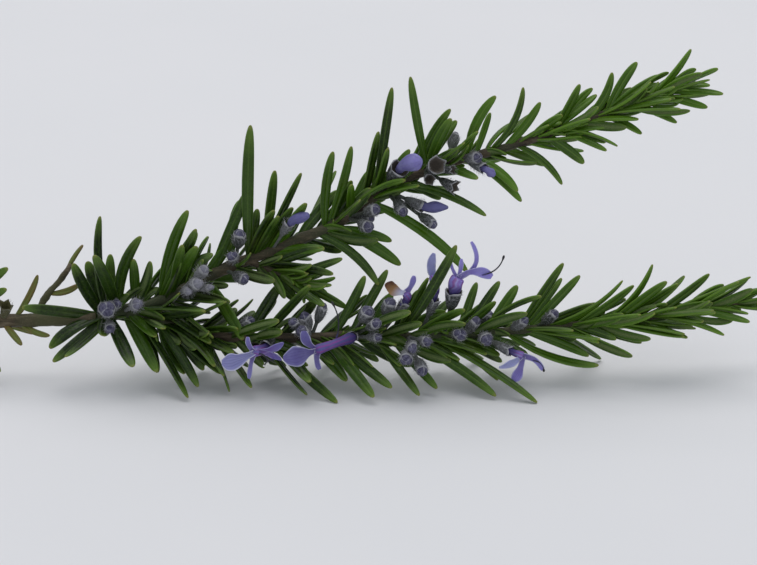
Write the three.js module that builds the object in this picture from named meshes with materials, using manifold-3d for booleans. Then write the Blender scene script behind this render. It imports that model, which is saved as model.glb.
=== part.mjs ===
// A cut sprig of rosemary lying on a table: a woody stem that forks into two leafy, flowering branches.
// Millimetres, +Z up. The cut end points to -X, the tips to +X, and the photographed side faces -Y.
// Points are [x, y, z] from the fork's own frame; CENTRE then sets the sprig's middle over the origin.
import * as THREE from "three";
import Module from "manifold-3d";

const CENTRE = [6, -4, 0];
const GAP = 0.3;
const SHORTEST_EDGE = 0.02;
const CURVE_TENSION = 0.5;

// The stems, from the cut end to the tips
const WOODY_STEM = [[-103, 1, 12.6], [-94, 0.5, 13.6], [-84, 0, 14.3], [-74, 0, 14.5], [-63, 0, 15.0]];
const WOODY_RADII = [1.5, 1.45];
const UPPER_BRANCH = [
  [-62.6, 0, 15.0], [-49, 2, 18.2], [-36, 4, 24.4], [-22, 6, 29.7], [-9, 8.5, 34.6], [2, 10.5, 42],
  [14, 12, 47], [27, 14, 50], [41, 16, 54], [54, 18, 58.4], [66, 19.8, 61.8],
];
const UPPER_RADII = [1.5, 0.7];
const LOWER_BRANCH = [
  [-56, 0, 16.2], [-44, -1, 13], [-33, -2, 11.2], [-20, -3, 11.3], [-7.5, -3, 11.8], [5, -3, 11.6],
  [16, -3, 11.8], [28, -2, 12.6], [41, -1, 13.4], [54, 0, 14.2], [67, 2, 15.7], [82, 4, 17.4],
];
const LOWER_RADII = [1.3, 0.65];
const SIDE_SHOOT = [[-30, 5, 27.2], [-25, 3.5, 25.4], [-20, 2.5, 23.8], [-16, 2, 22.6]];
const SIDE_RADII = [0.8, 0.6];
const STUB_TWIG = [[-77, 0, 14.4], [-74.5, 2, 19], [-71, 3, 23], [-68.5, 3.5, 26.5]];
const STUB_RADII = [0.9, 0.7];
const STEM_SIDES = 8;
const STEM_RING_SPACING = 6;
const STEM_GROWTH = 1.1;

// A leaf: narrow, blunt, rolled under along its edges, so its section is a flat triangle
const LEAF_WIDTH = 2.3;
const LEAF_THICKNESS = 1.0;
const LEAF_PROFILE = [[0.03, 0.5], [0.3, 0.9], [0.78, 1], [1, 0.4]];
const LEAF_ROLL = 55;
const ROOT_SPREAD = 0.6;
const LEAF_WIDTH_SPREAD = 0.12;
const BLADE_TOP = 0.4;
const BLADE_END_THICKNESS = 0.4;
const BLADE_EDGE_GROWTH = 2.6;
const BLADE_BELOW_GROWTH = 1.4;

// A calyx: a felted bell on a short stalk
const CALYX_LENGTH = 5;
const CALYX_RADII = [0.5, 0.5, 1.4, 1.45];
const CALYX_SHOULDER = 0.6;
const CALYX_SIDES = 6;
const UPRIGHT_SLOPE = 0.8;
const FLOWER_GROWTH = 1.15;

// A corolla: a tube with blades for petals, and threads for stamens and style
const PETAL_THICKNESS = 0.7;
const PETAL_PROFILE = [[0, 0.35], [0.4, 0.75], [0.78, 1], [1, 0.45]];
const THREAD_PROFILE = [[0, 1], [0.35, 1], [0.7, 1], [1, 1]];
const THREAD_WIDTH = 0.8;
const THROAT_DEPTH = 0.3;
const COROLLA_SIDES = 6;

// The tips it rests on reach this far below the table, and are cut flat at its surface
const FOOT_TIP = -0.6;
const GROUND_REACH = [150, 60, 20];

// Leaves that give the sprig its outline: [x on the stem, tip x, tip y, tip z, arch]
const OUTLINE_SEED = 57;
const UPPER_LEAVES = [
  [-60, -61, -3, 40, 1.2], [-61, -67, -6, 30, 0.5], [-58, -52, -5, 36, 2], [-58, -62, -9, 33, -0.5],
  [-54, -54, -3, 30, 0], [-61, -79, -4, 19, 0], [-61, -73, -6, 10, -1.5], [-60, -72, -9, 8, 0],
  [-59, -69, -11, 10, 0.3], [-60, -54, -12, 8, 0], [-47, -34, -6, 21, 0], [-39, -30, -6, 12, 0.3],
  [-48, -42, 1, 40, 1.2], [-47, -40, -3, 37, 0.5], [-46, -43, -5, 34, 0], [-37, -29, 6, 43, 0],
  [-29, -28, 3, 59, 0.5], [-25, -23, 8, 47, 0], [-26, -17, 3, 48, 0], [-24, -16, 0, 42, 0],
  [-12, -10, 6, 52, 0.8], [-11, -6, 10, 52, -0.6], [-6, -6, 4, 45, 0], [-3, 0, 8, 56, 0],
  [-1, 3, 12, 65, 0], [-1, 2, 5, 53, -0.3], [11, 7, 10, 68, 0.3], [9, 16, 12, 60, 1],
  [11, 16, 8, 59, 0.5], [20, 26, 12, 63, 1.5], [22, 25, 16, 58, 0], [25, 32, 12, 65, -2],
  [28, 36, 14, 61, -0.7], [39, 45, 18, 64, -0.3], [46, 52, 17, 67, -1.5], [51, 58, 22, 68, 0.5],
  [61, 70, 22, 71, -0.7], [67, 76, 20, 67, 0.4], [65, 77, 17, 62, 0.5], [64, 74, 20, 58, 0],
  [57, 67, 18, 55, 0.5], [50, 59, 16, 53, 0.5], [41, 51, 16, 51, 0.5], [41, 51, 13, 50, 0.3],
  [37, 46, 13, 47, 0.5], [31, 41, 10, 43, 1.5], [20, 31, 8, 42, 1.5], [20, 32, 10, 39, 1],
  [5, 24, 6, 37, 1.5], [-2, 20, 5, 24, 2], [-14, 0, 2, 22, 2], [-10, 5, 7, 25, 0.7],
  [-12, 3, 9, 30, 1],
];
const LOWER_LEAVES = [
  [-53, -42, -13, 1, 0.5], [-52, -49, -8, 5, 0], [-52, -47, -12, 17, 0], [-51, -38, -9, 20, 0],
  [-50, -40, -9, 2, 0.7], [-45, -35, -3, 3, 0.5], [-45, -37, -8, 7, 2.5], [-37, -28, -12, 3, 0.5],
  [-24, -9, -14, FOOT_TIP, -0.5], [-23, -15, -16, 6, 0], [-15, -7, -8, 3, 0], [-12, -1, -15, 2, 0],
  [-11, 3, -12, 3, 0], [-1, 9, -14, 2, 0], [3, 13, -10, 2, 0], [6, 26, -12, 1, 1],
  [7, 18, -5, 6, 0], [12, 35, -14, FOOT_TIP, 1], [28, 49, -6, 6, -2], [32, 47, -3, 7, 0.5],
  [33, 49, -8, 13, 0], [44, 59, 0, 9, 0.4], [52, 68, -4, 12, 0], [62, 77, -3, 12, 1],
  [70, 83, 0, 14, 0.3], [61, 74, -6, 19, 0], [-10, -3, 0, 25, -0.3], [-6, 2, 4, 25, 0],
  [-4, 3, 2, 20, 0], [5, 17, -8, 35, -0.5], [4, 11, -4, 26, 0], [18, 22, 4, 22, 0],
  [19, 27, 2, 23, 0], [17, 26, -3, 20, 0], [8, 19, -8, 20, 0.5], [24, 31, 2, 22, 0],
  [22, 36, -5, 22, 1.5], [31, 41, 0, 28, 0], [32, 41, 4, 23, 0], [34, 45, 3, 24, 0],
  [34, 48, 1, 18, 0], [37, 54, -3, 25, -2], [44, 57, 2, 22, -0.5], [50, 61, 2, 27, -2],
  [52, 64, -1, 24, 0], [54, 67, 3, 22, 0], [61, 74, 4, 24, -0.5], [63, 83, 2, 24, -0.3],
  [70, 80, -1, 24, 0], [76, 88, 4, 21, 0],
  [-42, -31, 12, FOOT_TIP, 0], [-20, -9, 12, FOOT_TIP, 0], [12, 24, 12, FOOT_TIP, 0],
  [38, 51, 12, FOOT_TIP, 0],
];
const SIDE_LEAVES = [
  [-27, -10, 1, 25, 0.5], [-25, -13, 4, 30, 0.5], [-24, -16, -1, 26, 0], [-22, -12, -3, 19, 0],
  [-20, -8, 3, 28, 0], [-19, -7, 1, 17, 0], [-26, -18, 2, 18, 0],
];

// Leaves set by rule on each stem: crossed pairs with a short one between, standing off less to the tip
const UPPER_RULE = {
  seed: 11, stations: 17, span: [0.05, 0.97], lift: [62, 20], length: [17, 14],
};
const LOWER_RULE = {
  seed: 23, stations: 19, span: [0.08, 0.985], lift: [58, 18], length: [17, 14],
};
const SIDE_RULE = {
  seed: 5, stations: 3, span: [0.5, 0.95], lift: [40, 25], length: [9, 8],
};
const FIRST_TURN = 45;
const CROSSED_TURN = 90;
const SHORT_TURN = 70;
const PAIR_TURNS = [0, 180, SHORT_TURN];
const TURN_SPREAD = 20;
const LEAN_SPREAD = 9;
const SHORT_LEAN = 0.75;
const SHORT_SHARE = 0.62;
const REACH_SPREAD = [0.8, 1.12];
const ARCH_SPREAD = 1.2;
const LOWEST_TIP = 1;

// Room that those leaves need, as balls along each piece's middle line
const BALLS_ON_LEAF = 12;
const LEAF_BALL = 1.05;
const SLIM_BALL = 0.6;
const OWN_FREE_BALLS = 3;
const BALLS_ON_LINE = 10;
const STALK_BALL = 0.5;
const CALYX_BALL = 1.45;
const STALK_FREE_SHARE = 0.3;
const CLEARANCE = 0.2;
const FORK_FREE_BALLS = { lower: 4, side: 3 };

// Single old leaves and scraps on the woody stem: [x on the stem, tip x, tip y, tip z, arch, width]
const OLD_LEAF_SEED = 47;
const OLD_LEAVES = {
  old_leaf_tall: [-81, -75.9, 2, 24.5, -0.6, 2.2],
  old_leaf_low: [-80, -73.2, -3, 11.9, -0.8, 2.2],
  old_leaf_back: [-87, -77.5, 3.5, 9.8, 0.4, 2],
  green_stub: [-83.5, -79.3, -4.5, 10.2, 0, 2.2],
  end_leaf_upper: [-96, -82.3, 1, 26.5, 0.8, 2.3],
  end_leaf_front: [-94, -82.2, -3.5, 23.2, 0.6, 2.3],
  end_leaf_back: [-95, -86, 9, 21, 0.6, 2.2],
  end_leaf_lower: [-95, -84.5, -4, 3.5, 0.5, 2.3],
};
const TWIG_SEED = 43;
const TWIG_LEAVES = [[-69, -65.9, 5, 30.5, 0.3], [-74, -66.7, 2, 22.3, -0.8]];

// Flower heads in the leaf joints: the branch, where they leave it, and the middle of each calyx's mouth
const FLOWER_HEADS = {
  dry_calyx: ["woody", -84, [[-82.6, -3, 19.5]]],
  head_tuft_front: ["upper", -60.5, [[-59.6, -9, 20.7], [-59.2, -8, 14.9], [-57.5, -5, 20.6]]],
  head_tuft_shoot: ["upper", -57, [[-52.7, -7, 21.1]]],
  head_upper_1: ["upper", -44.5, [
    [-38, -3, 28.1], [-36.5, -4, 23.8], [-39.2, -6, 25.5], [-41.5, -6, 23.4]]],
  head_upper_2: ["upper", -32, [[-30.7, 2, 35], [-32.5, -2, 30.6]]],
  head_upper_3: ["upper", -34.5, [[-29.1, -2, 24.5]]],
  head_upper_4: ["upper", -24, [[-19.5, 1.2, 37.2]]],
  head_upper_5: ["upper", -7, [[0.1, 3, 39.6], [-1.7, 1, 35.9], [-1, 6, 36.3]]],
  head_upper_6: ["upper", 1.5, [[5.9, 3, 38.4], [12.8, 5, 34.7], [10.1, 7, 38.7]]],
  head_upper_7: ["upper", 10.3, [[13.1, 5, 49.2], [16.9, 6, 47.7], [17.4, 6, 43.5], [11.4, 4, 46]]],
  head_upper_8: ["upper", 18.6, [[22.6, 8, 50], [23.6, 8.5, 47.2]]],
  head_upper_9: ["upper", 14.8, [[17.5, 20, 52]]],
  head_upper_10: ["upper", 0, [[4.8, 6, 48.2]]],
  head_lower_1: ["lower", -15, [
    [-19.3, -8, 17.5], [-16.7, -4, 17.7], [-12.1, -2, 19.3], [-17.3, -9, 15.6]]],
  head_lower_2: ["lower", -34, [[-27.7, -2, 15.5], [-31.4, 0, 14]]],
  head_lower_3: ["lower", -23, [[-25.2, -8, 11.1]]],
  head_lower_4: ["lower", -6, [[-1.9, -8, 20.3], [0.1, -11, 18.2], [0.5, -10, 14.1], [-5.8, -8, 13.5]]],
  head_lower_5: ["lower", 6.6, [[11.1, -13, 14.3], [7.5, -14, 12.8], [6, -15, 10.4], [9.8, -13, 6.7]]],
  head_lower_6: ["lower", 17, [[18.1, -10, 15]]],
  head_lower_7: ["lower", 22.5, [[24.1, -9, 13], [29.4, -7, 9.6]]],
  head_lower_8: ["lower", 9, [[12.7, -4, 21]]],
  head_lower_9: ["lower", 19, [[22.1, -4, 16.5], [25.3, 0, 16.4]]],
  head_lower_10: ["lower", 29, [[33, -3.5, 16.2]]],
  head_lower_11: ["lower", 35, [[39.7, -3, 17.7]]],
  head_lower_12: ["lower", 0, [[3, -4, 21], [6.1, -3, 19.9]]],
  head_lower_13: ["lower", 14.5, [[16.7, -5, 23.3]]],
};

// Corollas: the tube from the calyx's mouth with its radii, then petal tips [x, y, z, width, arch]
// and the tips of stamens and style [x, y, z, arch]
const COROLLAS = {
  corolla_front_left: {
    tube: [[-25.2, -8.5, 11.1], [-26.5, -10.5, 11.3], [-27.4, -12, 11.6]],
    radii: [0.9, 1.3, 1.5],
    petals: [
      [-33.8, -14, 10.2, 5, 0.5], [-28.8, -12.5, 15.5, 2.6, 0.6], [-28.3, -12.5, 5.6, 2.6, -0.6],
      [-21, -11, 13.3, 2.4, -0.5], [-21.5, -11, 9.3, 2.4, 0.5],
    ],
    threads: [[-24.2, -14.5, 9.5, 1.2]],
  },
  corolla_front_middle: {
    tube: [[-6.2, -8.4, 13.4], [-9.5, -10, 12.8], [-13.9, -12.4, 12]],
    radii: [0.9, 1.2, 1.7],
    petals: [
      [-19.8, -14.5, 11.1, 5.2, 0.5], [-16.1, -12.5, 16.7, 2.6, 0.6], [-12.9, -12.5, 7.6, 2.6, -0.6],
    ],
    threads: [[-18, -15.6, 13.8, 0.8]],
  },
  corolla_tall: {
    tube: [[16.8, -5, 23.8], [17, -5, 25.2], [17.6, -5, 26.4]],
    radii: [0.9, 1.4, 1.5],
    petals: [
      [15.9, -5, 30.4, 1.8, 0.3], [18.2, -5, 30.2, 1.8, -0.2], [24.6, -6, 27.4, 2.4, -0.6],
      [20.3, -5, 34.6, 1.8, -3],
    ],
    threads: [[27.3, -6.6, 32, -1.6]],
  },
  corolla_behind: {
    tube: [[12.6, -3.2, 22], [12.4, -2, 24], [12, -1.2, 25.6]],
    radii: [0.9, 1.3, 1.2],
    petals: [[12.3, -1, 31, 2.6, 0.3]],
    threads: [],
  },
  corolla_fading: {
    tube: [[6.3, -3.3, 20.7], [6.3, -4.2, 22], [6, -5, 23]],
    radii: [0.9, 1.1, 1.1],
    petals: [[2.2, -5.4, 25.6, 2.6, 0.8], [7.8, -5.4, 27, 2.4, -0.4]],
    threads: [],
  },
  corolla_front_right: {
    tube: [[30, -7.3, 9.5], [31, -7.7, 9.3], [32, -8, 9]],
    radii: [0.9, 1.2, 1.3],
    petals: [[36.4, -9.2, 6.1, 1.8, 0.9], [29.8, -9.6, 3.8, 3, 0.5], [26.6, -9.8, 7, 2.4, 0.4]],
    threads: [[33.2, -8.4, 11.4, 0.3]],
  },
  corolla_bud_top: {
    tube: [[5.3, 5.8, 48.6], [7, 5, 49.6], [8.7, 4.3, 50.2], [9.9, 3.8, 50.7]],
    radii: [1.2, 2.1, 1.9, 0.6],
    petals: [],
    threads: [],
  },
  corolla_bud_right: {
    tube: [[24.1, 8.4, 46.9], [25.2, 8.2, 46.1], [26.4, 8, 45.4]],
    radii: [1.1, 1.5, 0.6],
    petals: [],
    threads: [],
  },
  corolla_bud_middle: {
    tube: [[10.7, 6.9, 38.7], [12.8, 6.6, 38.9], [15.8, 6.2, 38.9]],
    radii: [1.1, 1.5, 0.6],
    petals: [],
    threads: [],
  },
  corolla_bud_left: {
    tube: [[-18.9, 1, 37.6], [-17.2, 0.6, 38.4], [-14.9, 0, 39.5]],
    radii: [1.1, 1.5, 0.6],
    petals: [],
    threads: [],
  },
};

// Colours and finish of each kind of piece
const BARK = { color: 0x75645a, roughness: 0.85 };
const GREEN_LEAF = { color: 0x5d7350, roughness: 0.55 };
const OLD_LEAF = { color: 0x87804a, roughness: 0.65 };
const FELTED_CALYX = { color: 0x80788c, roughness: 0.9 };
const BLUE_VIOLET = { color: 0xa6a3d6, roughness: 0.6 };

const wasm = await Module();
wasm.setup();

// The same run of seeded draws for each stem and seed
class Draws {
  constructor(seed) {
    this.state = seed;
  }

  between(low, high) {
    this.state = (this.state * 16807) % 2147483647;
    return low + ((high - low) * this.state) / 2147483647;
  }
}

const point = (x, y, z) => new THREE.Vector3(x, y, z);

const stemCurve = (points) =>
  new THREE.CatmullRomCurve3(points.map((p) => point(...p)), false, "catmullrom", CURVE_TENSION);

function heading(stem, share) {
  const step = 0.001;
  const ahead = stem.getPoint(Math.min(share + step, 1));
  return ahead.sub(stem.getPoint(Math.max(share - step, 0))).normalize();
}

// How far along the stem, as a share, its x is reached
function shareAtX(stem, x) {
  const halvings = 40;
  let low = 0;
  let high = 1;
  for (let step = 0; step < halvings; step++) {
    const middle = (low + high) / 2;
    if (stem.getPoint(middle).x < x) low = middle;
    else high = middle;
  }
  return (low + high) / 2;
}

// Square to the stem: 0 degrees is up, 90 towards the front
function outward(forward, degrees) {
  const up = point(0, 0, 1).addScaledVector(forward, -forward.z).normalize();
  const front = up.clone().cross(forward);
  if (front.y > 0) front.negate();
  const angle = THREE.MathUtils.degToRad(degrees);
  return up.multiplyScalar(Math.cos(angle)).addScaledVector(front, Math.sin(angle));
}

// A closed solid over rings with the same number of points
function skinned(rings) {
  const sides = rings[0].length;
  const corners = rings.flat();
  const triangles = [];
  for (let start = 0; start < corners.length - sides; start += sides) {
    for (let k = 0; k < sides; k++) {
      const a = start + k;
      const b = start + ((k + 1) % sides);
      triangles.push(a, b, b + sides, a, b + sides, a + sides);
    }
  }
  const last = corners.length - sides;
  for (let k = 1; k < sides - 1; k++) {
    triangles.push(0, k + 1, k, last, last + k, last + k + 1);
  }
  const vertProperties = new Float32Array(corners.flatMap((c) => c.toArray()));
  const triVerts = new Uint32Array(triangles);
  const tolerance = SHORTEST_EDGE;
  return new wasm.Manifold(new wasm.Mesh({ numProp: 3, vertProperties, triVerts, tolerance }));
}

// Rings along a line of points: each outline holds [across, above] pairs, and above leans to `face`.
// Every shape below can be grown on all sides: the grown one is what its neighbours are cut back by.
function swept(line, outlines, face, grow) {
  const rings = line.map((centre, k) => {
    const ahead = line[Math.min(k + 1, line.length - 1)];
    const forward = ahead.clone().sub(line[Math.max(k - 1, 0)]).normalize();
    const above = face.clone().addScaledVector(forward, -face.dot(forward)).normalize();
    const across = above.clone().cross(forward);
    const end = (k === line.length - 1) - (k === 0);
    const middle = centre.clone().addScaledVector(forward, end * grow);
    return outlines[k].map(([a, b]) =>
      middle.clone().addScaledVector(across, a).addScaledVector(above, b));
  });
  return skinned(rings);
}

function round(radius, sides) {
  return Array.from({ length: sides }, (_, k) => {
    const angle = (2 * Math.PI * k) / sides;
    return [radius * Math.cos(angle), radius * Math.sin(angle)];
  });
}

function bladeSection(width, thickness, grow) {
  const edge = width / 2 + BLADE_EDGE_GROWTH * grow;
  const top = BLADE_TOP * thickness + grow;
  const below = (1 - BLADE_TOP) * thickness + BLADE_BELOW_GROWTH * grow;
  return [[edge, top], [-edge, top], [0, -below]];
}

const joined = (solids) => wasm.Manifold.union(solids);

function stemSolid(stem, [first, last], grow) {
  const count = Math.ceil(stem.getLength() / STEM_RING_SPACING);
  const line = stem.getPoints(count);
  const radius = (k) => first + ((last - first) * k) / count + STEM_GROWTH * grow;
  return swept(line, line.map((_, k) => round(radius(k), STEM_SIDES)), point(0, 0, 1), grow);
}

// A point on the arc from root to tip: a positive arch bows up on a line that runs to +X
function arcPoint({ root, tip, arch }, share) {
  const chord = tip.clone().sub(root);
  const side = point(-chord.z, 0, chord.x).normalize();
  const rise = arch * 4 * share * (1 - share);
  return root.clone().addScaledVector(chord, share).addScaledVector(side, rise);
}

function blade(arc, profile, width, thickness, face, grow) {
  const line = profile.map(([share]) => arcPoint(arc, share));
  const thick = (wide) => thickness * (BLADE_END_THICKNESS + (1 - BLADE_END_THICKNESS) * wide);
  const outlines = profile.map(([, wide]) => bladeSection(width * wide, thick(wide), grow));
  return swept(line, outlines, face, grow);
}

// A leaf's upper face looks along the stem to its tip, turned a little about the leaf's own length
function leafSolid(leaf, grow) {
  const chord = leaf.tip.clone().sub(leaf.root).normalize();
  const turn = THREE.MathUtils.degToRad(leaf.roll);
  const face = leaf.forward.clone().applyAxisAngle(chord, turn);
  return blade(leaf, LEAF_PROFILE, leaf.width, LEAF_THICKNESS, face, grow);
}

function shownLeaves(stem, rows, seed) {
  const draw = new Draws(seed);
  return rows.map(([x, tipX, tipY, tipZ, arch, width = LEAF_WIDTH]) => {
    const share = shareAtX(stem, x + draw.between(-ROOT_SPREAD, ROOT_SPREAD));
    const roll = draw.between(-LEAF_ROLL, LEAF_ROLL);
    return {
      root: stem.getPoint(share),
      tip: point(tipX, tipY, tipZ),
      forward: heading(stem, share),
      width: width * draw.between(1 - LEAF_WIDTH_SPREAD, 1 + LEAF_WIDTH_SPREAD),
      arch,
      roll,
    };
  });
}

function ruledLeaves(stem, { seed, stations, span, lift, length }) {
  const draw = new Draws(seed);
  const leaves = [];
  for (let k = 0; k < stations; k++) {
    const part = k / (stations - 1);
    const share = span[0] + (span[1] - span[0]) * part;
    const root = stem.getPoint(share);
    const forward = heading(stem, share);
    for (const turn of PAIR_TURNS) {
      const short = turn === SHORT_TURN;
      const around = FIRST_TURN + CROSSED_TURN * k + turn + draw.between(-TURN_SPREAD, TURN_SPREAD);
      const lean = lift[0] + (lift[1] - lift[0]) * part + draw.between(-LEAN_SPREAD, LEAN_SPREAD);
      const drawn = draw.between(...REACH_SPREAD);
      const reach = (length[0] + (length[1] - length[0]) * part) * (short ? SHORT_SHARE : 1) * drawn;
      const arch = draw.between(-ARCH_SPREAD, ARCH_SPREAD);
      const roll = draw.between(-LEAF_ROLL, LEAF_ROLL);
      const width = LEAF_WIDTH * draw.between(1 - LEAF_WIDTH_SPREAD, 1 + LEAF_WIDTH_SPREAD);
      const angle = THREE.MathUtils.degToRad(lean * (short ? SHORT_LEAN : 1));
      const tip = root.clone().addScaledVector(forward, reach * Math.cos(angle));
      tip.addScaledVector(outward(forward, around), reach * Math.sin(angle));
      tip.z = Math.max(tip.z, LOWEST_TIP);
      leaves.push({ root, tip, forward, width, arch, roll });
    }
  }
  return leaves;
}

// A calyx on its stalk, from the middle of the stem to its mouth
function calyxSolid(root, mouth, grow) {
  const length = root.distanceTo(mouth);
  const stations = [0, length - CALYX_LENGTH, length - CALYX_SHOULDER * CALYX_LENGTH, length];
  const line = stations.map((s) => root.clone().lerp(mouth, Math.max(s, 0) / length));
  const outlines = CALYX_RADII.map((radius) => round(radius + FLOWER_GROWTH * grow, CALYX_SIDES));
  const upright = Math.abs(mouth.x - root.x) < UPRIGHT_SLOPE * length;
  const face = upright ? point(1, 0, 0) : point(0, 0, 1);
  return swept(line, outlines, face, grow);
}

function corollaSolid({ tube, radii, petals, threads }, grow) {
  const line = tube.map((p) => point(...p));
  const outlines = radii.map((radius) => round(radius + FLOWER_GROWTH * grow, COROLLA_SIDES));
  const solids = [swept(line, outlines, point(0, 0, 1), grow)];
  const throat = line[line.length - 1].clone().lerp(line[line.length - 2], THROAT_DEPTH);
  const front = point(0, -1, 0);
  for (const [x, y, z, width, arch] of petals) {
    const petal = { root: throat, tip: point(x, y, z), arch };
    solids.push(blade(petal, PETAL_PROFILE, width, PETAL_THICKNESS, front, grow));
  }
  for (const [x, y, z, arch] of threads) {
    const thread = { root: throat, tip: point(x, y, z), arch };
    solids.push(blade(thread, THREAD_PROFILE, THREAD_WIDTH, THREAD_WIDTH, front, grow));
  }
  return joined(solids);
}

// Balls along a piece's middle line, to keep rule-set leaves clear of the other pieces
const leafBalls = (leaf) =>
  Array.from({ length: BALLS_ON_LEAF }, (_, k) =>
    ({ centre: arcPoint(leaf, (k + 1) / BALLS_ON_LEAF), radius: LEAF_BALL }));
const stemBalls = (stem, radii) =>
  stem.getPoints(Math.ceil(stem.getLength())).map((centre) => ({ centre, radius: radii[0] }));
const lineBalls = (from, to, radius) =>
  Array.from({ length: BALLS_ON_LINE }, (_, k) =>
    ({ centre: from.clone().lerp(to, k / (BALLS_ON_LINE - 1)), radius }));
const slim = ({ centre }) => ({ centre, radius: SLIM_BALL });
const apart = (a, b) => a.centre.distanceTo(b.centre) > a.radius + b.radius + CLEARANCE;
const areClear = (some, others) => some.every((a) => others.every((b) => apart(a, b)));

const sprig = new THREE.Group();
sprig.position.set(...CENTRE);
const placed = [];

function boxSolid(min, max) {
  return skinned([min.x, max.x].map((x) => [
    point(x, max.y, min.z), point(x, max.y, max.z), point(x, min.y, max.z), point(x, min.y, min.z),
  ]));
}
const [groundX, groundY, groundDepth] = GROUND_REACH;
const ground = boxSolid(point(-groundX, -groundY, -groundDepth), point(groundX, groundY, 0));

// The largest body of a solid: scraps cut loose from it are dropped
const largest = (solid) =>
  solid.decompose().reduce((best, body) => (body.volume() > best.volume() ? body : best));

const boxOf = (solid) => {
  const { min, max } = solid.boundingBox();
  return new THREE.Box3(point(...min), point(...max));
};

// Cuts a piece clear of those already placed and of the ground, and adds it as a mesh
function addPiece(name, look, shape) {
  const solid = shape(0);
  const reach = boxOf(solid);
  const near = placed.filter((other) => reach.intersectsBox(boxOf(other)));
  const piece = largest(wasm.Manifold.difference([solid, ground, ...near]));
  placed.push(shape(GAP));
  const { vertProperties, triVerts } = piece.getMesh();
  const geometry = new THREE.BufferGeometry();
  geometry.setAttribute("position", new THREE.BufferAttribute(vertProperties, 3));
  geometry.setIndex(new THREE.BufferAttribute(triVerts, 1));
  geometry.computeVertexNormals();
  const material = new THREE.MeshStandardMaterial({ ...look, metalness: 0, flatShading: true });
  const mesh = new THREE.Mesh(geometry, material);
  mesh.name = name;
  sprig.add(mesh);
}

const stems = {
  woody: stemCurve(WOODY_STEM),
  upper: stemCurve(UPPER_BRANCH),
  lower: stemCurve(LOWER_BRANCH),
};
const sideShoot = stemCurve(SIDE_SHOOT);
const stubTwig = stemCurve(STUB_TWIG);

// Where the flower heads, corollas and stems are
const headBalls = Object.values(FLOWER_HEADS).flatMap(([stem, x, mouths]) => {
  const root = stems[stem].getPoint(shareAtX(stems[stem], x));
  return mouths.flatMap((m) => {
    const mouth = point(...m);
    const base = mouth.clone().lerp(root, Math.min(CALYX_LENGTH / mouth.distanceTo(root), 1));
    const stalk = lineBalls(root.clone().lerp(base, STALK_FREE_SHARE), base, STALK_BALL);
    return [...stalk, ...lineBalls(base, mouth, CALYX_BALL)];
  });
});
const corollaBalls = Object.values(COROLLAS).flatMap(({ tube, radii, petals, threads }) => {
  const throat = point(...tube[tube.length - 1]);
  return [
    ...lineBalls(point(...tube[0]), throat, Math.max(...radii)),
    ...petals.flatMap(([x, y, z, width]) => lineBalls(throat, point(x, y, z), width / 2)),
    ...threads.flatMap(([x, y, z]) => lineBalls(throat, point(x, y, z), THREAD_WIDTH / 2)),
  ];
});
const flowerBalls = [...headBalls, ...corollaBalls];
const upperBalls = stemBalls(stems.upper, UPPER_RADII);
const lowerBalls = stemBalls(stems.lower, LOWER_RADII).slice(FORK_FREE_BALLS.lower);
const sideBalls = stemBalls(sideShoot, SIDE_RADII).slice(FORK_FREE_BALLS.side);

const upperShown = shownLeaves(stems.upper, UPPER_LEAVES, OUTLINE_SEED);
const lowerShown = shownLeaves(stems.lower, LOWER_LEAVES, OUTLINE_SEED);
const sideShown = shownLeaves(sideShoot, SIDE_LEAVES, OUTLINE_SEED);

// A branch with the leaves that the photograph shows and those of its rule that have room
function leafyBranch(stem, radii, shown, rule, others) {
  const leaves = [...shown];
  for (const leaf of ruledLeaves(stem, rule)) {
    const outer = leafBalls(leaf).slice(OWN_FREE_BALLS).map(slim);
    const own = leaves.flatMap((other) => leafBalls(other).slice(OWN_FREE_BALLS).map(slim));
    if (areClear(leafBalls(leaf).slice(1), others) && areClear(outer, own)) leaves.push(leaf);
  }
  const shape = (grow) => joined([
    stemSolid(stem, radii, grow), ...leaves.map((leaf) => leafSolid(leaf, grow)),
  ]);
  return { leaves, shape };
}

const ballsOf = (leaves) => leaves.flatMap(leafBalls);
const upper = leafyBranch(stems.upper, UPPER_RADII, upperShown, UPPER_RULE,
  [...flowerBalls, ...lowerBalls, ...sideBalls, ...ballsOf(lowerShown), ...ballsOf(sideShown)]);
const lower = leafyBranch(stems.lower, LOWER_RADII, lowerShown, LOWER_RULE,
  [...flowerBalls, ...upperBalls, ...sideBalls, ...ballsOf(upper.leaves), ...ballsOf(sideShown)]);
const side = leafyBranch(sideShoot, SIDE_RADII, sideShown, SIDE_RULE,
  [...flowerBalls, ...upperBalls, ...lowerBalls, ...ballsOf(upper.leaves), ...ballsOf(lower.leaves)]);

addPiece("woody_stem", BARK, (grow) => stemSolid(stems.woody, WOODY_RADII, grow));
addPiece("upper_branch", GREEN_LEAF, upper.shape);
addPiece("lower_branch", GREEN_LEAF, lower.shape);
addPiece("side_shoot", GREEN_LEAF, side.shape);

const twigLeaves = shownLeaves(stubTwig, TWIG_LEAVES, TWIG_SEED);
addPiece("stub_twig", OLD_LEAF, (grow) => joined([
  stemSolid(stubTwig, STUB_RADII, grow), ...twigLeaves.map((leaf) => leafSolid(leaf, grow)),
]));
for (const [name, row] of Object.entries(OLD_LEAVES)) {
  const [leaf] = shownLeaves(stems.woody, [row], OLD_LEAF_SEED);
  addPiece(name, OLD_LEAF, (grow) => leafSolid(leaf, grow));
}
for (const [name, [stem, x, mouths]] of Object.entries(FLOWER_HEADS)) {
  const root = stems[stem].getPoint(shareAtX(stems[stem], x));
  addPiece(name, FELTED_CALYX, (grow) =>
    joined(mouths.map((mouth) => calyxSolid(root, point(...mouth), grow))));
}
for (const [name, corolla] of Object.entries(COROLLAS)) {
  addPiece(name, BLUE_VIOLET, (grow) => corollaSolid(corolla, grow));
}

export default sprig;
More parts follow.
